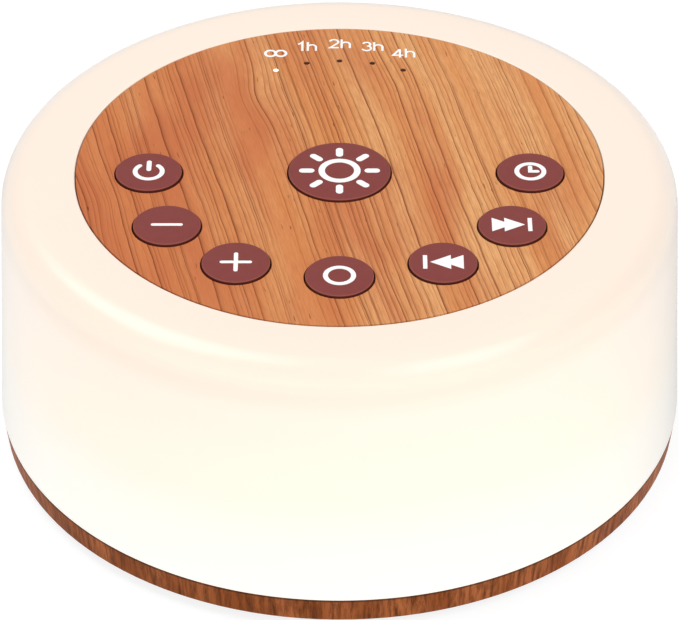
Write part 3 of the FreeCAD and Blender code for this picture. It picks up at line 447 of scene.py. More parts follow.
def growth_lines(tree, across, along, spacing, seed, sharpness):
    """Dark lines across the grain, 0 to 1. The coordinate, in line spacings, runs through a saw whose
    power is the line. Each line's strength comes from a random value of its whole number, and it comes
    and goes slowly along the grain."""
    uneven = add(tree, "TexNoise", {"W": across, "Scale": 0.3 / spacing, "Detail": 1.0},
                 noise_dimensions="1D")
    pushed = add(tree, "Math", {0: uneven.outputs[0], 1: 2.0, 2: seed}, operation="MULTIPLY_ADD").outputs[0]
    count = add(tree, "Math", {0: across, 1: 1 / spacing, 2: pushed}, operation="MULTIPLY_ADD").outputs[0]
    saw = add(tree, "Math", {0: count}, operation="FRACT").outputs[0]
    fade = add(tree, "Math", {0: 1.0, 1: saw}, operation="SUBTRACT").outputs[0]
    line = add(tree, "Math", {0: fade, 1: sharpness}, operation="POWER").outputs[0]
    halo = add(tree, "Math", {0: fade, 1: sharpness / 5}, operation="POWER").outputs[0]
    number = add(tree, "Math", {0: count}, operation="FLOOR").outputs[0]
    chance = add(tree, "TexWhiteNoise", {"W": number}, noise_dimensions="1D").outputs["Value"]
    spot = add(tree, "CombineXYZ", {0: number, 1: along}).outputs[0]
    slow = add(tree, "TexNoise", {"Vector": spot, "Scale": 0.06, "Detail": 1.0}).outputs[0]
    strength = add(tree, "Math", {0: chance, 1: slow}, operation="MULTIPLY").outputs[0]
    strength = add(tree, "MapRange", {0: strength, 1: 0.05, 2: 0.34}).outputs[0]
    mix = add(tree, "Math", {0: halo, 1: 0.15, 2: line}, operation="MULTIPLY_ADD").outputs[0]
    return add(tree, "Math", {0: mix, 1: strength}, operation="MULTIPLY", use_clamp=True).outputs[0]


def stretched_noise(tree, across, along, across_mm, along_mm, detail=2.0):
    """Noise whose patches are so many millimetres wide and long."""
    spot = add(tree, "CombineXYZ", {0: across, 1: along}).outputs[0]
    share = (1 / across_mm, 1 / along_mm, 0)
    spot = add(tree, "VectorMath", {0: spot, 1: share}, operation="MULTIPLY").outputs[0]
    return add(tree, "TexNoise", {"Vector": spot, "Scale": 1.0, "Detail": detail}).outputs[0]


def swirl(tree, across, along, centre, size, push):
    """Pushes the grain aside round a point: a bell curve of the distance, in sizes, times the push."""
    spot = add(tree, "CombineXYZ", {0: across, 1: along}).outputs[0]
    spot = add(tree, "VectorMath", {0: spot, 1: (*centre, 0)}, operation="SUBTRACT").outputs[0]
    spot = add(tree, "VectorMath", {0: spot, 1: (*size, 1)}, operation="DIVIDE").outputs[0]
    far = add(tree, "VectorMath", {0: spot, 1: spot}, operation="DOT_PRODUCT").outputs["Value"]
    bell = add(tree, "Math", {0: math.exp(-1), 1: far}, operation="POWER").outputs[0]
    return add(tree, "Math", {0: bell, 1: push, 2: across}, operation="MULTIPLY_ADD").outputs[0]


# %% Panel finish
cherry, tree, shader = finish("printed_cherry_foil", Roughness=0.45, Specular_IOR_Level=0.08)
place = in_millimetres(tree, GRAIN_TURN)
split = add(tree, "SeparateXYZ", {0: place})
across, along = split.outputs["X"], split.outputs["Y"]
broad = stretched_noise(tree, across, along, 26, 60, 1.0)
bent = add(tree, "Math", {0: broad, 1: 2.4, 2: across}, operation="MULTIPLY_ADD").outputs[0]
tremor = stretched_noise(tree, across, along, 2.5, 8, 2.0)
bent = add(tree, "Math", {0: tremor, 1: 0.45, 2: bent}, operation="MULTIPLY_ADD").outputs[0]
for centre, size, push in (((-8, 24), (4, 7), 1.1), ((-38, 0), (4, 7), -0.8), ((17, 22), (4, 8), -0.6)):
    bent = swirl(tree, bent, along, centre, size, push)
strong = growth_lines(tree, bent, along, 1.65, 3.0, 11.0)
fine = growth_lines(tree, bent, along, 0.75, 11.0, 4.5)
tone = stretched_noise(tree, bent, along, 6, 90, 2.0)
tone = add(tree, "MapRange", {0: tone, 1: 0.35, 2: 0.65}).outputs[0]
red = stretched_noise(tree, bent, along, 11, 40, 2.0)
red = add(tree, "MapRange", {0: red, 1: 0.4, 2: 0.75}).outputs[0]
# the print's left side comes from redder and darker wood than its right
heart = add(tree, "MapRange", {0: across, 1: -40.0, 2: 30.0, 3: 0.6, 4: -0.4}).outputs[0]
red = add(tree, "Math", {0: red, 1: heart}, operation="ADD", use_clamp=True).outputs[0]
tone = add(tree, "Math", {0: heart, 1: -0.6, 2: tone}, operation="MULTIPLY_ADD", use_clamp=True).outputs[0]
wood = blend_colours(tree, tone, "#db8f55", "#ebaf76")
wood = blend_colours(tree, red, wood, "#cb764b")
fibre = stretched_noise(tree, bent, along, 0.25, 3, 3.0)
fibre = add(tree, "MapRange", {0: fibre, 1: 0.35, 2: 0.7, 3: 0.0, 4: 0.38}).outputs[0]
wood = blend_colours(tree, fibre, wood, "#b5693a")
pale = add(tree, "Math", {0: fine, 1: 0.8}, operation="MULTIPLY").outputs[0]
wood = blend_colours(tree, pale, wood, "#9c4f29")
dark = add(tree, "Math", {0: strong, 1: 0.92}, operation="MULTIPLY").outputs[0]
wood = blend_colours(tree, dark, wood, "#742f13")
fleck = stretched_noise(tree, bent, along, 0.35, 4, 1.0)
fleck = add(tree, "MapRange", {0: fleck, 1: 0.745, 2: 0.785, 4: 0.8}).outputs[0]
wood = blend_colours(tree, fleck, wood, "#552a16")
tree.links.new(wood, shader.inputs["Base Color"])
relief = add(tree, "Bump", {"Strength": 0.05, "Distance": 0.02 * MM, "Height": strong}, invert=True)
tree.links.new(relief.outputs[0], shader.inputs["Normal"])
print("nodes in the panel's finish:", len(tree.nodes))

# %% [markdown]
# ## The base band
#
# The band wears a darker print of the same wood, with its grain upright. Grain that runs round the band
# needs no unrolled picture: noise that reads X and Y at full rate and Z hardly at all makes streaks
# which stand on the band and meet all round without a seam.

# %% Band finish
walnut, tree, shader = finish("printed_dark_foil", Roughness=0.5, Specular_IOR_Level=0.07)
place = in_millimetres(tree)
upright = add(tree, "VectorMath", {0: place, 1: (1, 1, 0.04)}, operation="MULTIPLY").outputs[0]
streaks = {"Vector": upright, "Scale": 1.3, "Detail": 4.0, "Roughness": 0.7}
streaks = add(tree, "TexNoise", streaks).outputs[0]
streaks = add(tree, "MapRange", {0: streaks, 1: 0.42, 2: 0.66}).outputs[0]
blocks = add(tree, "TexNoise", {"Vector": upright, "Scale": 0.16, "Detail": 1.0}).outputs[0]
blocks = add(tree, "MapRange", {0: blocks, 1: 0.35, 2: 0.65}).outputs[0]
dark = blend_colours(tree, blocks, "#b76433", "#da814d")
dark = blend_colours(tree, streaks, dark, "#7c4223")
# painted shadow: the band darkens just under its upper edge, where the shell's lower edge shades it
height = add(tree, "SeparateXYZ", {0: place}).outputs["Z"]
painted_seam_shadow = add(tree, "MapRange", {0: height, 1: seam_z - 0.4, 2: seam_z - 0.1, 4: 0.7}).outputs[0]
dark = blend_colours(tree, painted_seam_shadow, dark, "#3c1c0e")
# the underside is bare plastic of the same colour
band_foot = span("base_ring")[0][2]
bare = add(tree, "MapRange", {0: height, 1: band_foot + 0.15, 2: band_foot + 0.05}).outputs[0]
dark = blend_colours(tree, bare, dark, "#8a4a28")
tree.links.new(dark, shader.inputs["Base Color"])
relief = add(tree, "Bump", {"Strength": 0.1, "Distance": 0.02 * MM, "Height": streaks}, invert=True)
tree.links.new(relief.outputs[0], shader.inputs["Normal"])
print("nodes in the band's finish:", len(tree.nodes))

# %% [markdown]
# ## Panel, band and other mouldings with many holes
#
# Some pieces have many holes and pockets, which the CAD solid already has right. They keep that shape,
# and only their edges are eased: a merged copy of the mesh loses its borders between triangles that lie
# in one plane, and a narrow bevel goes round what is left. Weighted normals then follow the large faces,
# so that these shade flat and only the bevel looks round.


# %% Eased copies of CAD nodes
def eased(node, name, width, material, segments=2):
    """A copy of a CAD node whose edges are rounded this many millimetres wide."""
    mesh = nodes[node].data.copy()
    mesh.name = name
    work = bmesh.new()
    work.from_mesh(mesh)
    bmesh.ops.remove_doubles(work, verts=work.verts, dist=1e-6)
    bmesh.ops.dissolve_limit(work, angle_limit=math.radians(0.5), verts=work.verts, edges=work.edges)
    work.to_mesh(mesh)
    work.free()
    mesh.shade_smooth()
    mesh.set_sharp_from_angle(angle=math.radians(30))
    thing = bpy.data.objects.new(name, mesh)
    bpy.context.scene.collection.objects.link(thing)
    bevel = thing.modifiers.new("eased edges", "BEVEL")
    bevel.width = width * MM
    bevel.segments = segments
    bevel.limit_method = "ANGLE"
    bevel.angle_limit = math.radians(30)
    normals = thing.modifiers.new("flat faces stay flat", "WEIGHTED_NORMAL")
    normals.weight = 90
    normals.keep_sharp = True
    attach(thing, nodes[node]["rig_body"])
    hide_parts(node)
    wear(thing, material)
    return thing


panel = eased("top_panel", "panel", 0.12, cherry)
band = eased("base_ring", "band", 0.12, walnut)
print("panel and band faces:", len(panel.data.polygons), len(band.data.polygons))

# %% [markdown]
# ## Keys
#
# A keycap is a hollow ABS cap with a flange below the panel, which keeps it in. All eight are the same
# turned profile at two sizes. One spot of the flange is cut away for the peg that stops the key turning:
# there the radius is limited to what a ray from the key's centre meets first, the flange or the notch.

# %% Keycaps
FLANGE = 0.9
FLANGE_DEPTH = 1.0
PEG_OFFSET = 1.25
NOTCH_RADIUS = 1.1
KEY_EDGE = 0.2
KEY_ROOF = 1.3
KEY_WALL = 1.25
STEM_RADIUS = 1.9
PRINT = 0.02
KEYS = ("power", "volume_down", "volume_up", "sound", "previous", "next", "timer", "light")
key_top_z = span("light_key")[1][2] - PRINT


def keycap(name):
    """A turned cap whose flange gives way to its peg's notch. On a ray that leaves the notch's bearing
    by an angle d, the notch starts at p cos d - sqrt(n n - p p sin d sin d), for a notch of radius n
    whose centre is p away."""
    low, high = span(name + "_key")
    centre = (low + high)[:2] / 2
    flange = (high - low)[0] / 2
    radius = flange - FLANGE
    stem_z = span(name + "_plunger")[1][2]
    roof_z = key_top_z - KEY_ROOF
    flange_z = panel_under_z - FLANGE_DEPTH
    inner = radius - KEY_WALL
    profile = rounded([
        (0, key_top_z, 0), (radius, key_top_z, KEY_EDGE), (radius, panel_under_z, 0.1),
        (flange, panel_under_z, 0.15), (flange, flange_z, 0.15), (inner, flange_z, 0.1),
        (inner, roof_z, 0.3), (STEM_RADIUS, roof_z, 0.2), (STEM_RADIUS, stem_z, 0.1), (0, stem_z, 0),
    ])
    grid = lathe(profile, 144)
    reach = np.hypot(grid[..., 0], grid[..., 1])
    bearing = np.arctan2(grid[..., 1], grid[..., 0]) - math.atan2(-centre[1], -centre[0])
    peg = radius + PEG_OFFSET
    chord = np.maximum(NOTCH_RADIUS ** 2 - (peg * np.sin(bearing)) ** 2, 0)
    notch = np.where((chord > 0) & (np.cos(bearing) > 0), peg * np.cos(bearing) - np.sqrt(chord), reach)
    in_flange = (grid[..., 2] <= panel_under_z + 0.01) & (reach > radius)
    scale = np.where(in_flange, np.minimum(reach, np.maximum(notch, radius)) / np.maximum(reach, 1e-9), 1.0)
    grid[..., :2] *= scale[..., None]
    grid[..., :2] += centre
    cap = piece(name + "_cap", [(grid, (False, True))], name + "_button")
    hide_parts(name + "_key")
    return cap, centre, radius


caps = {name: keycap(name) for name in KEYS}
print("keys:", {name: np.round(centre, 1).tolist() for name, (_, centre, _) in caps.items()})

# %% [markdown]
# ABS keys come out of a mould with a fine spark-eroded grain. The eye sees an even red-brown top, the round
# edge as a thin paler line, which is a painted highlight, and a darker side where it stands in its hole,
# which is painted shade.

# %% Key finish
abs_brown, tree, shader = finish("moulded_abs_brown", Roughness=0.5, Specular_IOR_Level=0.1)
place = in_millimetres(tree)
cloud = add(tree, "TexNoise", {"Vector": place, "Scale": 0.5, "Detail": 2.0}).outputs[0]
top = blend_colours(tree, cloud, "#7f3d3a", "#85433f")
height = add(tree, "SeparateXYZ", {0: place}).outputs["Z"]
# painted highlight: a paler line along the round top edge
painted_edge_highlight = add(tree, "MapRange", {0: height, 1: key_top_z, 2: key_top_z - 0.05}).outputs[0]
# painted shade: the side below the round edge is darker
side = add(tree, "MapRange", {0: height, 1: key_top_z - 0.12, 2: key_top_z - 0.2}).outputs[0]
brown = blend_colours(tree, side, blend_colours(tree, painted_edge_highlight, top, "#95574f"), "#5c2a22")
tree.links.new(brown, shader.inputs["Base Color"])
grain = add(tree, "TexNoise", {"Vector": place, "Scale": 6.0, "Detail": 2.0}).outputs[0]
bump = add(tree, "Bump", {"Strength": 0.08, "Distance": 0.02 * MM, "Height": grain})
tree.links.new(bump.outputs[0], shader.inputs["Normal"])
for cap, _, _ in caps.values():
    wear(cap, abs_brown)

# %% [markdown]
# ## Printed signs
#
# The signs are pad-printed in white: a layer of ink a few hundredths of a millimetre thick. A sign is
# drawn as strokes, and a stroke is a small box section carried along a path. At a bend the section is
# mitred, and at a round end its half width follows a circle down to nothing.


# %% Strokes
def stroke(path, width, base, lift=0.0, round_ends=False, closed=False):
    """A flat printed line along a path of (x, y) points, as a grid: one row for each point, and four
    columns for the corners of its section. The sideways step at a bend is the mean of both sides'
    normals, lengthened so that each side keeps its width."""
    path = np.array(path, float)
    half = np.full(len(path), width / 2)
    if round_ends:
        turn = np.radians(np.linspace(90, 0, 7))[:-1]
        for end, inner in ((0, 1), (-1, -2)):
            out = path[end] - path[inner]
            out /= np.linalg.norm(out)
            tip = path[end] + out * (width / 2) * np.sin(turn)[:, None]
            size = width / 2 * np.cos(turn)
            path = np.vstack([tip, path]) if end == 0 else np.vstack([path, tip[::-1]])
            half = np.hstack([size, half]) if end == 0 else np.hstack([half, size[::-1]])
    elif not closed:
        path = np.vstack([path[:1], path, path[-1:]])
        half = np.hstack([0, half, 0])
    after = np.roll(path, -1, axis=0) - path
    before = path - np.roll(path, 1, axis=0)
    if not closed:
        after[-1], before[0] = 0, 0
    lengths = [np.linalg.norm(v, axis=1, keepdims=True) for v in (before, after)]
    before, after = (np.where(n > 1e-9, v / np.maximum(n, 1e-9), 0)
                     for v, n in zip((before, after), lengths))
    along = before + after
    along /= np.maximum(np.linalg.norm(along, axis=1, keepdims=True), 1e-9)
    straight = np.maximum((along * np.where(lengths[1] > 1e-9, after, before)).sum(1), 0.3)
    side = np.stack([-along[:, 1], along[:, 0]], axis=-1) * (half / straight)[:, None]
    rails = [path - side, path - side, path + side, path + side]
    heights = [base, base + PRINT + lift, base + PRINT + lift, base]
    lines = [np.column_stack([rail, np.full(len(path), z)]) for rail, z in zip(rails, heights)]
    return np.stack(lines, axis=1), (closed, True)


def plate(outline, base):
    """A flat printed area inside a polygon of (x, y) corners, as top, sides and foot."""
    outline = np.array(outline, float)
    middle = outline.mean(axis=0)
    rings = [middle + 0 * outline, outline, outline, middle + 0 * outline]
    heights = [base + PRINT, base + PRINT, base, base]
    lines = [np.column_stack([ring, np.full(len(ring), z)]) for ring, z in zip(rings, heights)]
    return np.stack(lines), (False, True)


def loop(radius, centre=(0.0, 0.0), first=0.0, last=360.0, count=64):
    """Points of an arc, or of a whole circle that leaves out its repeated last point."""
    angle = np.radians(np.linspace(first, last, count, endpoint=last - first < 360))
    return np.column_stack([centre[0] + radius * np.cos(angle), centre[1] + radius * np.sin(angle)])


def bar(start, end):
    """A straight run of three points."""
    return np.linspace(start, end, 3)


# %% Signs on the keys
CROSSING = 0.002  # how much higher one of two crossing strokes runs
ring = 2.2
line, thin_line = 0.79, 0.68
arm = 2.22
z = key_top_z


def skip(side):
    """Two triangles in a row and a bar. The first triangle is cut off where the second one starts."""
    half, length, step = 1.88, 3.28, 2.0
    first, second, end = -3.23 * side, (step - 3.23) * side, 2.84 * side
    cut = half * (1 - step / length)
    stump = [(first, -half), (second, -cut), (second, cut), (first, half)]
    arrow = [(second, -half), (second + side * length, 0), (second, half)]
    return [plate(stump, z), plate(arrow, z), stroke(bar((end, -1.82), (end, 1.82)), thin_line, z)]


signs = {
    "power": [stroke(loop(ring, first=133, last=407), line, z, round_ends=True),
              stroke(bar((0, 0.5), (0, 2.72)), line, z, round_ends=True)],
    "volume_down": [stroke(bar((-arm, 0), (arm, 0)), thin_line, z, round_ends=True)],
    "volume_up": [stroke(bar((-arm, 0), (arm, 0)), thin_line, z, round_ends=True),
                  stroke(bar((0, -arm), (0, arm)), thin_line, z, CROSSING, round_ends=True)],
    "sound": [stroke(loop(ring), line, z, closed=True)],
    "previous": skip(-1),
    "next": skip(1),
    "timer": [stroke(loop(ring), line, z, closed=True),
              stroke([(0, 1.3), (0, 0), (1.15, 0)], 0.72, z, round_ends=True)],
    "light": [stroke(loop(2.9), 1.05, z, closed=True)]
    + [stroke([4.65 * ray, 6.0 * ray], 1.18, z, round_ends=True) for ray in loop(1.0, count=8)],
}

ink, tree, shader = finish("white_pad_print", Roughness=0.55)
speck = add(tree, "TexNoise", {"Vector": in_millimetres(tree), "Scale": 3.0, "Detail": 2.0}).outputs[0]
tree.links.new(blend_colours(tree, speck, "#faf9f7", "#ffffff"), shader.inputs["Base Color"])
for name, parts in signs.items():
    centre = caps[name][1]
    moved = [(grid + np.array([*centre, 0]), wrap) for grid, wrap in parts]
    sign = piece(name + "_sign", moved, name + "_button", sharp=30)
    wear(sign, ink)
print("signs:", len(signs))

# %% [markdown]
# ## The timer's legends
#
# An endless sign and one to four hours stand behind the row of lights. They are strokes too: a few
# straight runs and arcs for each character, in the plain lettering that such panels carry.

# %% Legends on the panel
DIGIT_HEIGHT = 2.75
LEGEND_LINE = 0.38
legend_z = rim_z - PRINT / 2


def character(name):
    """A character's strokes in millimetres, from its lower left, and how far on the next one starts."""
    if name == "1":
        return [[(0.1, 2.05), (0.5, 2.3), (0.85, 2.75), (0.85, 0)]], 1.6
    if name == "2":
        return [[*loop(0.72, (0.82, 1.98), 168, -38, 14), (0.15, 0.14), (1.62, 0.14)]], 1.95
    if name == "3":
        upper = loop(0.62, (0.82, 2.06), 165, -70, 14)
        lower = loop(0.74, (0.82, 0.80), 85, -165, 16)
        return [upper, lower], 1.95
    if name == "4":
        return [[(1.25, 2.6), (0.08, 0.72), (1.8, 0.72)], [(1.25, 0), (1.25, 2.6)]], 2.1
    arch = loop(0.7, (0.86, 1.2), 180, 0, 12)
    return [[(0.16, 0), (0.16, DIGIT_HEIGHT)], [*arch, (1.56, 0)]], 1.74


LEGENDS = {"1h": (-5.5, 37.3), "2h": (0.1, 38.15), "3h": (5.65, 37.3), "4h": (10.95, 35.2)}
grids = []
for text, (x, y) in LEGENDS.items():
    glyphs = [character(letter) for letter in text]
    pen = x - sum(step for _, step in glyphs) / 2
    for strokes, step in glyphs:
        for number, path in enumerate(strokes):
            spot = np.array(path, float) + (pen, y - DIGIT_HEIGHT / 2)
            grids.append(stroke(spot, LEGEND_LINE, legend_z, CROSSING * number))
        pen += step
# the endless sign: two ellipses that touch, drawn in one go, x = a (1 - cos 2t) to the right and then to
# the left, y = b sin 2t; where they meet, one way runs a hair higher than the other
t = np.linspace(0, 2 * np.pi, 96, endpoint=False)
loops = np.column_stack([np.where(t < np.pi, 0.88, -0.88) * (1 - np.cos(2 * t)), 0.92 * np.sin(2 * t)])
eight, wrap = stroke(loops + (-10.85, 35.1), 0.46, legend_z, closed=True)
eight[..., 2] += 0.003 * np.cos(t)[:, None]
grids.append((eight, wrap))
legends = piece("timer_legends", grids, sharp=30)
wear(legends, ink)
print("strokes in the legends:", len(grids))

# %% [markdown]
# ## Timer lights
#
# Each light is the end of a clear pin with a drop of clear lacquer on it, which fills its hole. Only the
# first is on. An unlit pin would show the dark inside through its clear plastic, so its colour is a painted
# shade, nearly black, and the lit one glows white.

# %% Light guide finish
row_radius = 21.5
row_back = span("timer_light_guide")[1][1] - 1.3
light_angles = np.radians([-30, -15, 0, 15, 30])


def light_place(angle):
    """Where a timer light stands on the row's arc, this far round it from the middle one."""
    return row_radius * math.sin(angle), row_back - row_radius * (1 - math.cos(angle))


acrylic, tree, shader = finish("clear_acrylic_guide", Roughness=0.2, IOR=1.49, Specular_IOR_Level=0.1,
                                Emission_Strength=1.0)
place = in_millimetres(tree)
near = add(tree, "VectorMath", {0: place, 1: (1, 1, 0)}, operation="MULTIPLY").outputs[0]
lit_spot = (*light_place(light_angles[0]), 0)
far = add(tree, "VectorMath", {0: near, 1: lit_spot}, operation="DISTANCE").outputs["Value"]
lit = add(tree, "MapRange", {0: far, 1: 1.4, 2: 0.9}).outputs[0]
tree.links.new(blend_colours(tree, lit, "#000000", "#fff6e4"), shader.inputs["Emission Color"])
haze = add(tree, "TexNoise", {"Vector": place, "Scale": 1.0, "Detail": 2.0}).outputs[0]
# painted shade: the unlit pins' colour stands for the dark inside seen through clear plastic
painted_dark_inside = blend_colours(tree, haze, "#3a170a", "#48200f")
tree.links.new(blend_colours(tree, lit, painted_dark_inside, "#e8e2d8"), shader.inputs["Base Color"])
wear(nodes["timer_light_guide"], acrylic)

# %% Lacquer drops on the pins
drop_radius = 0.48
pin_top = span("timer_light_guide")[1][2]
drop_top = rim_z - 0.03
drop = rounded([(0, pin_top, 0), (drop_radius, pin_top, 0.02), (drop_radius, drop_top, 0.12),
                (0, drop_top, 0)], 5)
drops = [(lathe(drop, 40, light_place(angle)), (False, True)) for angle in light_angles]
lenses = piece("timer_lenses", drops)
wear(lenses, acrylic)
print("timer lights:", len(drops))

# %% [markdown]
# ## Underside and inlet
#
# The cover, feet and inlet don't show in the photograph, and follow such products: a cream ABS cover
# with a grille, black rubber feet, and a steel socket in a cream bezel at the back.


# %% Moulded and metal finishes
def mottled(name, colour, grain_mm, roughness, relief_mm=0.02, spread=0.06, **values):
    """A plain finish of one colour, a little lighter and darker in patches, with a grain of this size
    in its surface. The patches are eight grains wide."""
    material, tree, shader = finish(name, Roughness=roughness, **values)
    place = in_millimetres(tree)
    patches = add(tree, "TexNoise", {"Vector": place, "Scale": 1 / (8 * grain_mm), "Detail": 2.0}).outputs[0]
    base = np.array(linear(colour))
    dim, bright = [(*np.clip(base[:3] * k, 0, 1).tolist(), 1.0) for k in (1 - spread, 1 + spread)]
    mix = add(tree, "Mix", {0: patches, 6: dim, 7: bright}, data_type="RGBA").outputs[2]
    tree.links.new(mix, shader.inputs["Base Color"])
    grain = add(tree, "TexNoise", {"Vector": place, "Scale": 1 / grain_mm, "Detail": 2.0}).outputs[0]
    bump = add(tree, "Bump", {"Strength": 0.3, "Distance": relief_mm * MM, "Height": grain})
    tree.links.new(bump.outputs[0], shader.inputs["Normal"])
    return material


cream_abs = mottled("moulded_abs_cream", "#e6dfd0", 0.4, 0.55)
black_rubber = mottled("moulded_rubber_black", "#2a2928", 0.3, 0.8)

# %% Cover, feet and bezel
eased("bottom_cover", "cover", 0.12, cream_abs, 1)
eased("inlet_bezel", "bezel", 0.15, cream_abs)

foot_reach, _, foot_top = span("rubber_feet")[1]
foot_radius = 5.0
foot_circle = foot_reach - foot_radius
sole = rounded([(0, 0, 0), (foot_radius, 0, 0.6), (foot_radius, foot_top, 0.1), (0, foot_top, 0)])
feet = [(lathe(sole, 72, (foot_circle * x, foot_circle * y)), (False, True))
        for x, y in ((1, 0), (0, 1), (-1, 0), (0, -1))]
feet = piece("feet", feet)
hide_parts("rubber_feet")
wear(feet, black_rubber)
print("feet on a circle of radius", round(float(foot_circle), 2))

# %% [markdown]
# ## Soft pieces
#
# The grille cloth is a thin woven disc and the gasket is foam. The speaker's surround and spider are
# rings that bend: the cone carries their inner edge up and down, and the frame holds the outer one.

# %% Cloth and gasket
cloth_low, cloth_high = span("grille_cloth")
gasket_low, gasket_high = span("speaker_gasket")


def woven(name, dark, pale, thread_mm, roughness, **values):
    """A plain weave: the product of two rows of waves, one each way, is a thread's height and colour."""
    material, tree, shader = finish(name, Roughness=roughness, **values)
    place = in_millimetres(tree)
    sockets = {"Vector": place, "Scale": 0.5 / thread_mm}
    waves = [add(tree, "TexWave", sockets, bands_direction=way).outputs[1] for way in "XY"]
    threads = add(tree, "Math", {0: waves[0], 1: waves[1]}, operation="MULTIPLY").outputs[0]
    tree.links.new(blend_colours(tree, threads, dark, pale), shader.inputs["Base Color"])
    bump = add(tree, "Bump", {"Strength": 0.5, "Distance": 0.08 * MM, "Height": threads})
    tree.links.new(bump.outputs[0], shader.inputs["Normal"])
    return material


black_weave = woven("woven_polyester_black", "#141414", "#3a3a3a", 0.5, 0.85, Sheen_Weight=0.3)
stiff_cotton = woven("resin_stiffened_cotton", "#86642f", "#c09550", 0.4, 0.8)

cloth_radius = cloth_high[0]
disc = rounded([(0, cloth_low[2], 0), (cloth_radius, cloth_low[2], 0.05),
                (cloth_radius, cloth_high[2], 0.05), (0, cloth_high[2], 0)], 4)
cloth = piece("grille_mesh", [(lathe(disc, 120), (False, True))])
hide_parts("grille_cloth")
wear(cloth, black_weave)

foam_black = mottled("closed_cell_foam_black", "#2c2c2e", 0.5, 0.95, 0.1)
foam_inner = cloth_radius + 0.1
foam = rounded([(foam_inner, gasket_low[2], 0.2), (gasket_high[0], gasket_low[2], 0.2),
                (gasket_high[0], gasket_high[2], 0.2), (foam_inner, gasket_high[2], 0.2)])
gasket = piece("gasket", [(lathe(foam, 144), (True, True))])
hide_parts("speaker_gasket")
wear(gasket, foam_black)
print("cloth radius", round(float(cloth_radius), 2), "gasket from", round(float(foam_inner), 2))

# %% [markdown]
# Each ring is turned in twelve closed sectors: a skin between the ring's lower and upper line of points, and
# a wall at each end.

# %% Surround and spider
SECTORS = 12


def bending_ring(name, node, under, over, material):
    """Closed sectors of a turned sheet, between its lower and its upper line of (r, z) points."""
    half = math.pi / SECTORS
    low, high = (np.array(line, float) for line in (under, over))
    for number in range(SECTORS):
        middle = 2 * half * number
        angle = middle + np.linspace(-half, half, 7)
        upper, lower = (np.stack([line[:, :1] * np.cos(angle), line[:, :1] * np.sin(angle),
                                  line[:, 1:] + 0 * angle], axis=-1) for line in (high, low))
        skin = np.concatenate([upper, lower[::-1]])
        ends = [(np.stack([upper[:, k], lower[:, k]], axis=1), (False, False)) for k in (0, -1)]
        sector = piece(f"{name}_{number + 1}", [(skin, (True, False)), *ends], body=None,
                       sharp=50)
        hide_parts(node)
        wear(sector, material)
        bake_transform(sector)


(_, _, surround_low), (surround_edge, _, surround_high) = span("speaker_surround")
lip = 0.8
rubber_sheet = 0.35
roll_radius = surround_high - surround_low - rubber_sheet
roll_centre = surround_edge - lip - roll_radius
roll_inner = roll_centre - roll_radius
rise = np.radians(np.linspace(180, 0, 25))
over_foot = math.asin(rubber_sheet / (roll_radius + rubber_sheet))
over_rise = np.clip(rise, over_foot, math.pi - over_foot)


def half_roll(angles, radius):
    """Points of a half circle that stands on the surround's foot."""
    return np.column_stack([roll_centre + radius * np.cos(angles), surround_low + radius * np.sin(angles)])


lip_inner = roll_inner - lip + 0.05
bending_ring("surround", "speaker_surround",
             [(lip_inner, surround_low), *half_roll(rise, roll_radius), (surround_edge, surround_low)],
             [(lip_inner, surround_low + rubber_sheet), *half_roll(over_rise, roll_radius + rubber_sheet),
              (surround_edge, surround_low + rubber_sheet)],
             black_rubber)

(_, _, spider_low), (spider_edge, _, spider_high) = span("speaker_spider")
cotton_sheet = 0.3
wave = (spider_high - spider_low - cotton_sheet) / 2
spider_inner = span("coil_former")[1][0] + 0.05
spider_seat = spider_edge - 1.4
radii = np.linspace(spider_inner, spider_seat, 61)
across = (radii - spider_inner) / (spider_seat - spider_inner)
ripple = spider_low + wave + wave * np.sin(6 * np.pi * across)
cotton = np.vstack([np.column_stack([radii, ripple]), (spider_edge, spider_low + wave)])
bending_ring("spider", "speaker_spider", cotton, cotton + (0, cotton_sheet),
             stiff_cotton)
print("surround roll", round(float(roll_radius), 2), "spider wave", round(float(wave), 2))

# %% [markdown]
# ## What stays as it is
#
# Boards, chips, switches, screws and the rest of the loudspeaker keep their CAD meshes. Each slot of
# the record gets the finish of its real material, from one table: colour, size of the grain in
# millimetres, roughness, and metal or not.

# %% Finishes by slot
SLOTS = {
    "plunger": ("acetal_black", "#262626", 0.3, 0.4, 0.0),
    "white_plastic": ("moulded_abs_white", "#ecebe6", 0.4, 0.5, 0.0),
    "dark_plastic": ("moulded_nylon_black", "#242424", 0.3, 0.5, 0.0),
    "screw_steel": ("zinc_plated_steel", "#b9bcc0", 0.2, 0.35, 1.0),
    "steel": ("plated_pressed_steel", "#a9abae", 0.4, 0.4, 1.0),
    "socket_steel": ("nickel_plated_steel", "#c6c6c4", 0.3, 0.25, 1.0),
    "board_green": ("green_solder_mask", "#1f5c34", 0.8, 0.35, 0.0),
    "board_white": ("white_solder_mask", "#e8e8e4", 0.8, 0.4, 0.0),
    "chip": ("moulded_epoxy_black", "#1d1d1e", 0.2, 0.6, 0.0),
    "led": ("led_white_with_phosphor", "#f0e6b4", 0.5, 0.3, 0.0),
    "paper": ("pressed_pulp_black", "#2b2a28", 0.4, 0.9, 0.0),
    "card": ("grey_card", "#a59580", 0.5, 0.9, 0.0),
    "ferrite": ("sintered_ferrite", "#3a3a3d", 0.2, 0.5, 0.0),
    "coil": ("lacquered_kraft_tube", "#a5672f", 0.3, 0.4, 0.0),
    "insulation": ("red_vinyl_insulation", "#a32020", 0.5, 0.45, 0.0),
    "foam": ("foamed_rubber_black", "#2c2c2e", 0.5, 0.9, 0.0),
}
slot_finishes = {slot: mottled(name, colour, grain, rough, Metallic=metal)
                 for slot, (name, colour, grain, rough, metal) in SLOTS.items()}
for name, node in nodes.items():
    slot = node.material_slots[0].name
    if slot in slot_finishes:
        wear(node, slot_finishes[slot])
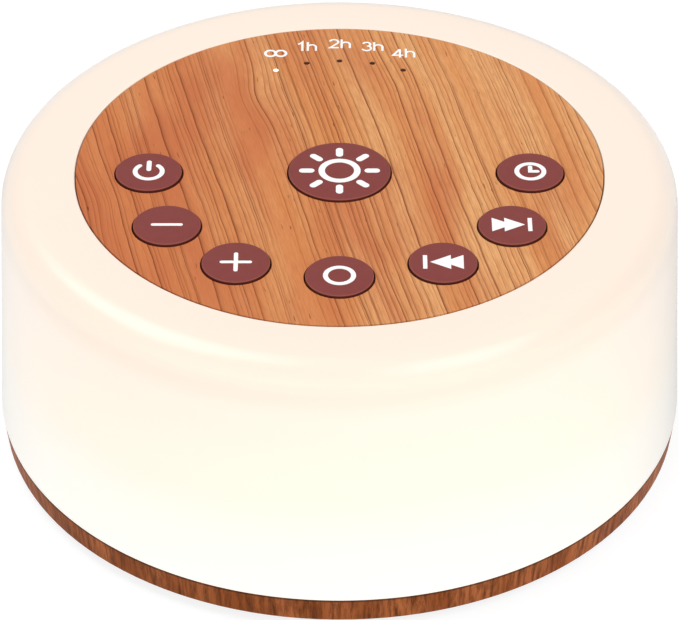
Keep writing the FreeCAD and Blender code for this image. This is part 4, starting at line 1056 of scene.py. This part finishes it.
print("finishes by slot:", len(slot_finishes))

# %% [markdown]
# ## Floor, light and camera
#
# The photograph is a product picture on white. Two broad soft boxes overhead, one to each side, put the
# two soft crescents on the shell's shoulder, and a weaker pair in front fills in. Together they light the
# object at a level where a colour comes out about as it is written. The floor is grey paper for soft
# light, and looks white to the camera and in reflections, so it keeps a trace of the object's shadow.

# %% Floor
def seen_rays(tree):
    """1 for the camera's rays and for those that gloss or clear plastic sends on, 0 for soft light."""
    rays = add(tree, "LightPath").outputs
    seen = rays["Is Camera Ray"]
    for kind in ("Is Glossy Ray", "Is Transmission Ray"):
        seen = add(tree, "Math", {0: seen, 1: rays[kind]}, operation="ADD", use_clamp=True).outputs[0]
    return seen


x, y = np.meshgrid([-3000, 3000], [-3000, 3000])
floor = piece("studio_floor", [(np.stack([x, y, 0 * x], axis=-1), (False, False))], body=None)
floor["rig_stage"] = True
paper, tree, shader = finish("white_backdrop_paper", Roughness=0.9, Emission_Strength=1.0)
fibres = add(tree, "TexNoise", {"Vector": in_millimetres(tree), "Scale": 0.3, "Detail": 2.0}).outputs[0]
tree.links.new(blend_colours(tree, fibres, "#878787", "#8b8b8b"), shader.inputs["Base Color"])
tree.links.new(blend_colours(tree, seen_rays(tree), "#000000", "#ebebeb"), shader.inputs["Emission Color"])
wear(floor, paper)

# %% World and lamps
world = bpy.data.worlds.new("studio")
bpy.context.scene.world = world
world.use_nodes = True
tree = world.node_tree
background = tree.nodes["Background"]
background.inputs["Color"].default_value = linear("#ffffff")
strength = add(tree, "MapRange", {0: seen_rays(tree), 3: 0.3, 4: 1.0}).outputs[0]
tree.links.new(strength, background.inputs["Strength"])


def lamp(name, place, size, power, along=(1, 0, 0)):
    """A soft box that faces the object, with the long side of its size laid along a direction."""
    data = bpy.data.lights.new(name, "AREA")
    data.shape = "RECTANGLE"
    data.size, data.size_y = size
    data.energy = power
    light = bpy.data.objects.new(name, data)
    bpy.context.scene.collection.objects.link(light)
    light.location = place
    back = np.array(place) - (0, 0, 0.03)
    back /= np.linalg.norm(back)
    up = np.cross(back, along)
    up /= np.linalg.norm(up)
    turn = Matrix(np.column_stack([np.cross(up, back), up, back]).tolist())
    light.rotation_euler = turn.to_euler()


lamp("left_box", (-0.42, 0.2, 0.88), (0.7, 0.6), 4.5, (-0.06, 0.96, -0.27))
lamp("right_box", (0.45, -0.36, 0.82), (0.5, 0.6), 3.2, (0.8, 0.38, -0.47))
lamp("front_left_box", (-0.6, -1.0, 0.5), (1.3, 1.0), 2.8)
lamp("front_right_box", (0.6, -1.0, 0.5), (1.3, 1.0), 2.8)
print("lamps:", len(bpy.data.lights))

# %% Camera
# Fitted to the panel's rim, the side's outline and the base in the photograph.
camera = bpy.data.cameras.new("camera")
camera.lens = 207.36
camera.sensor_width = 36.0
camera.sensor_fit = "HORIZONTAL"
eye = bpy.data.objects.new("camera", camera)
bpy.context.scene.collection.objects.link(eye)
eye.location = (0.0, -0.5274, 0.4070)
eye.rotation_euler = (math.radians(53.83), 0.0, 0.0)
bpy.context.scene.camera = eye
bpy.context.scene.view_settings.view_transform = "Standard"

# %% Sizes for comparison, and the end
sizes = {"cad": cad_box, "visual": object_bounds()}
for name, box in sizes.items():
    print(name, [round(v / MM, 2) for corner in box for v in corner])
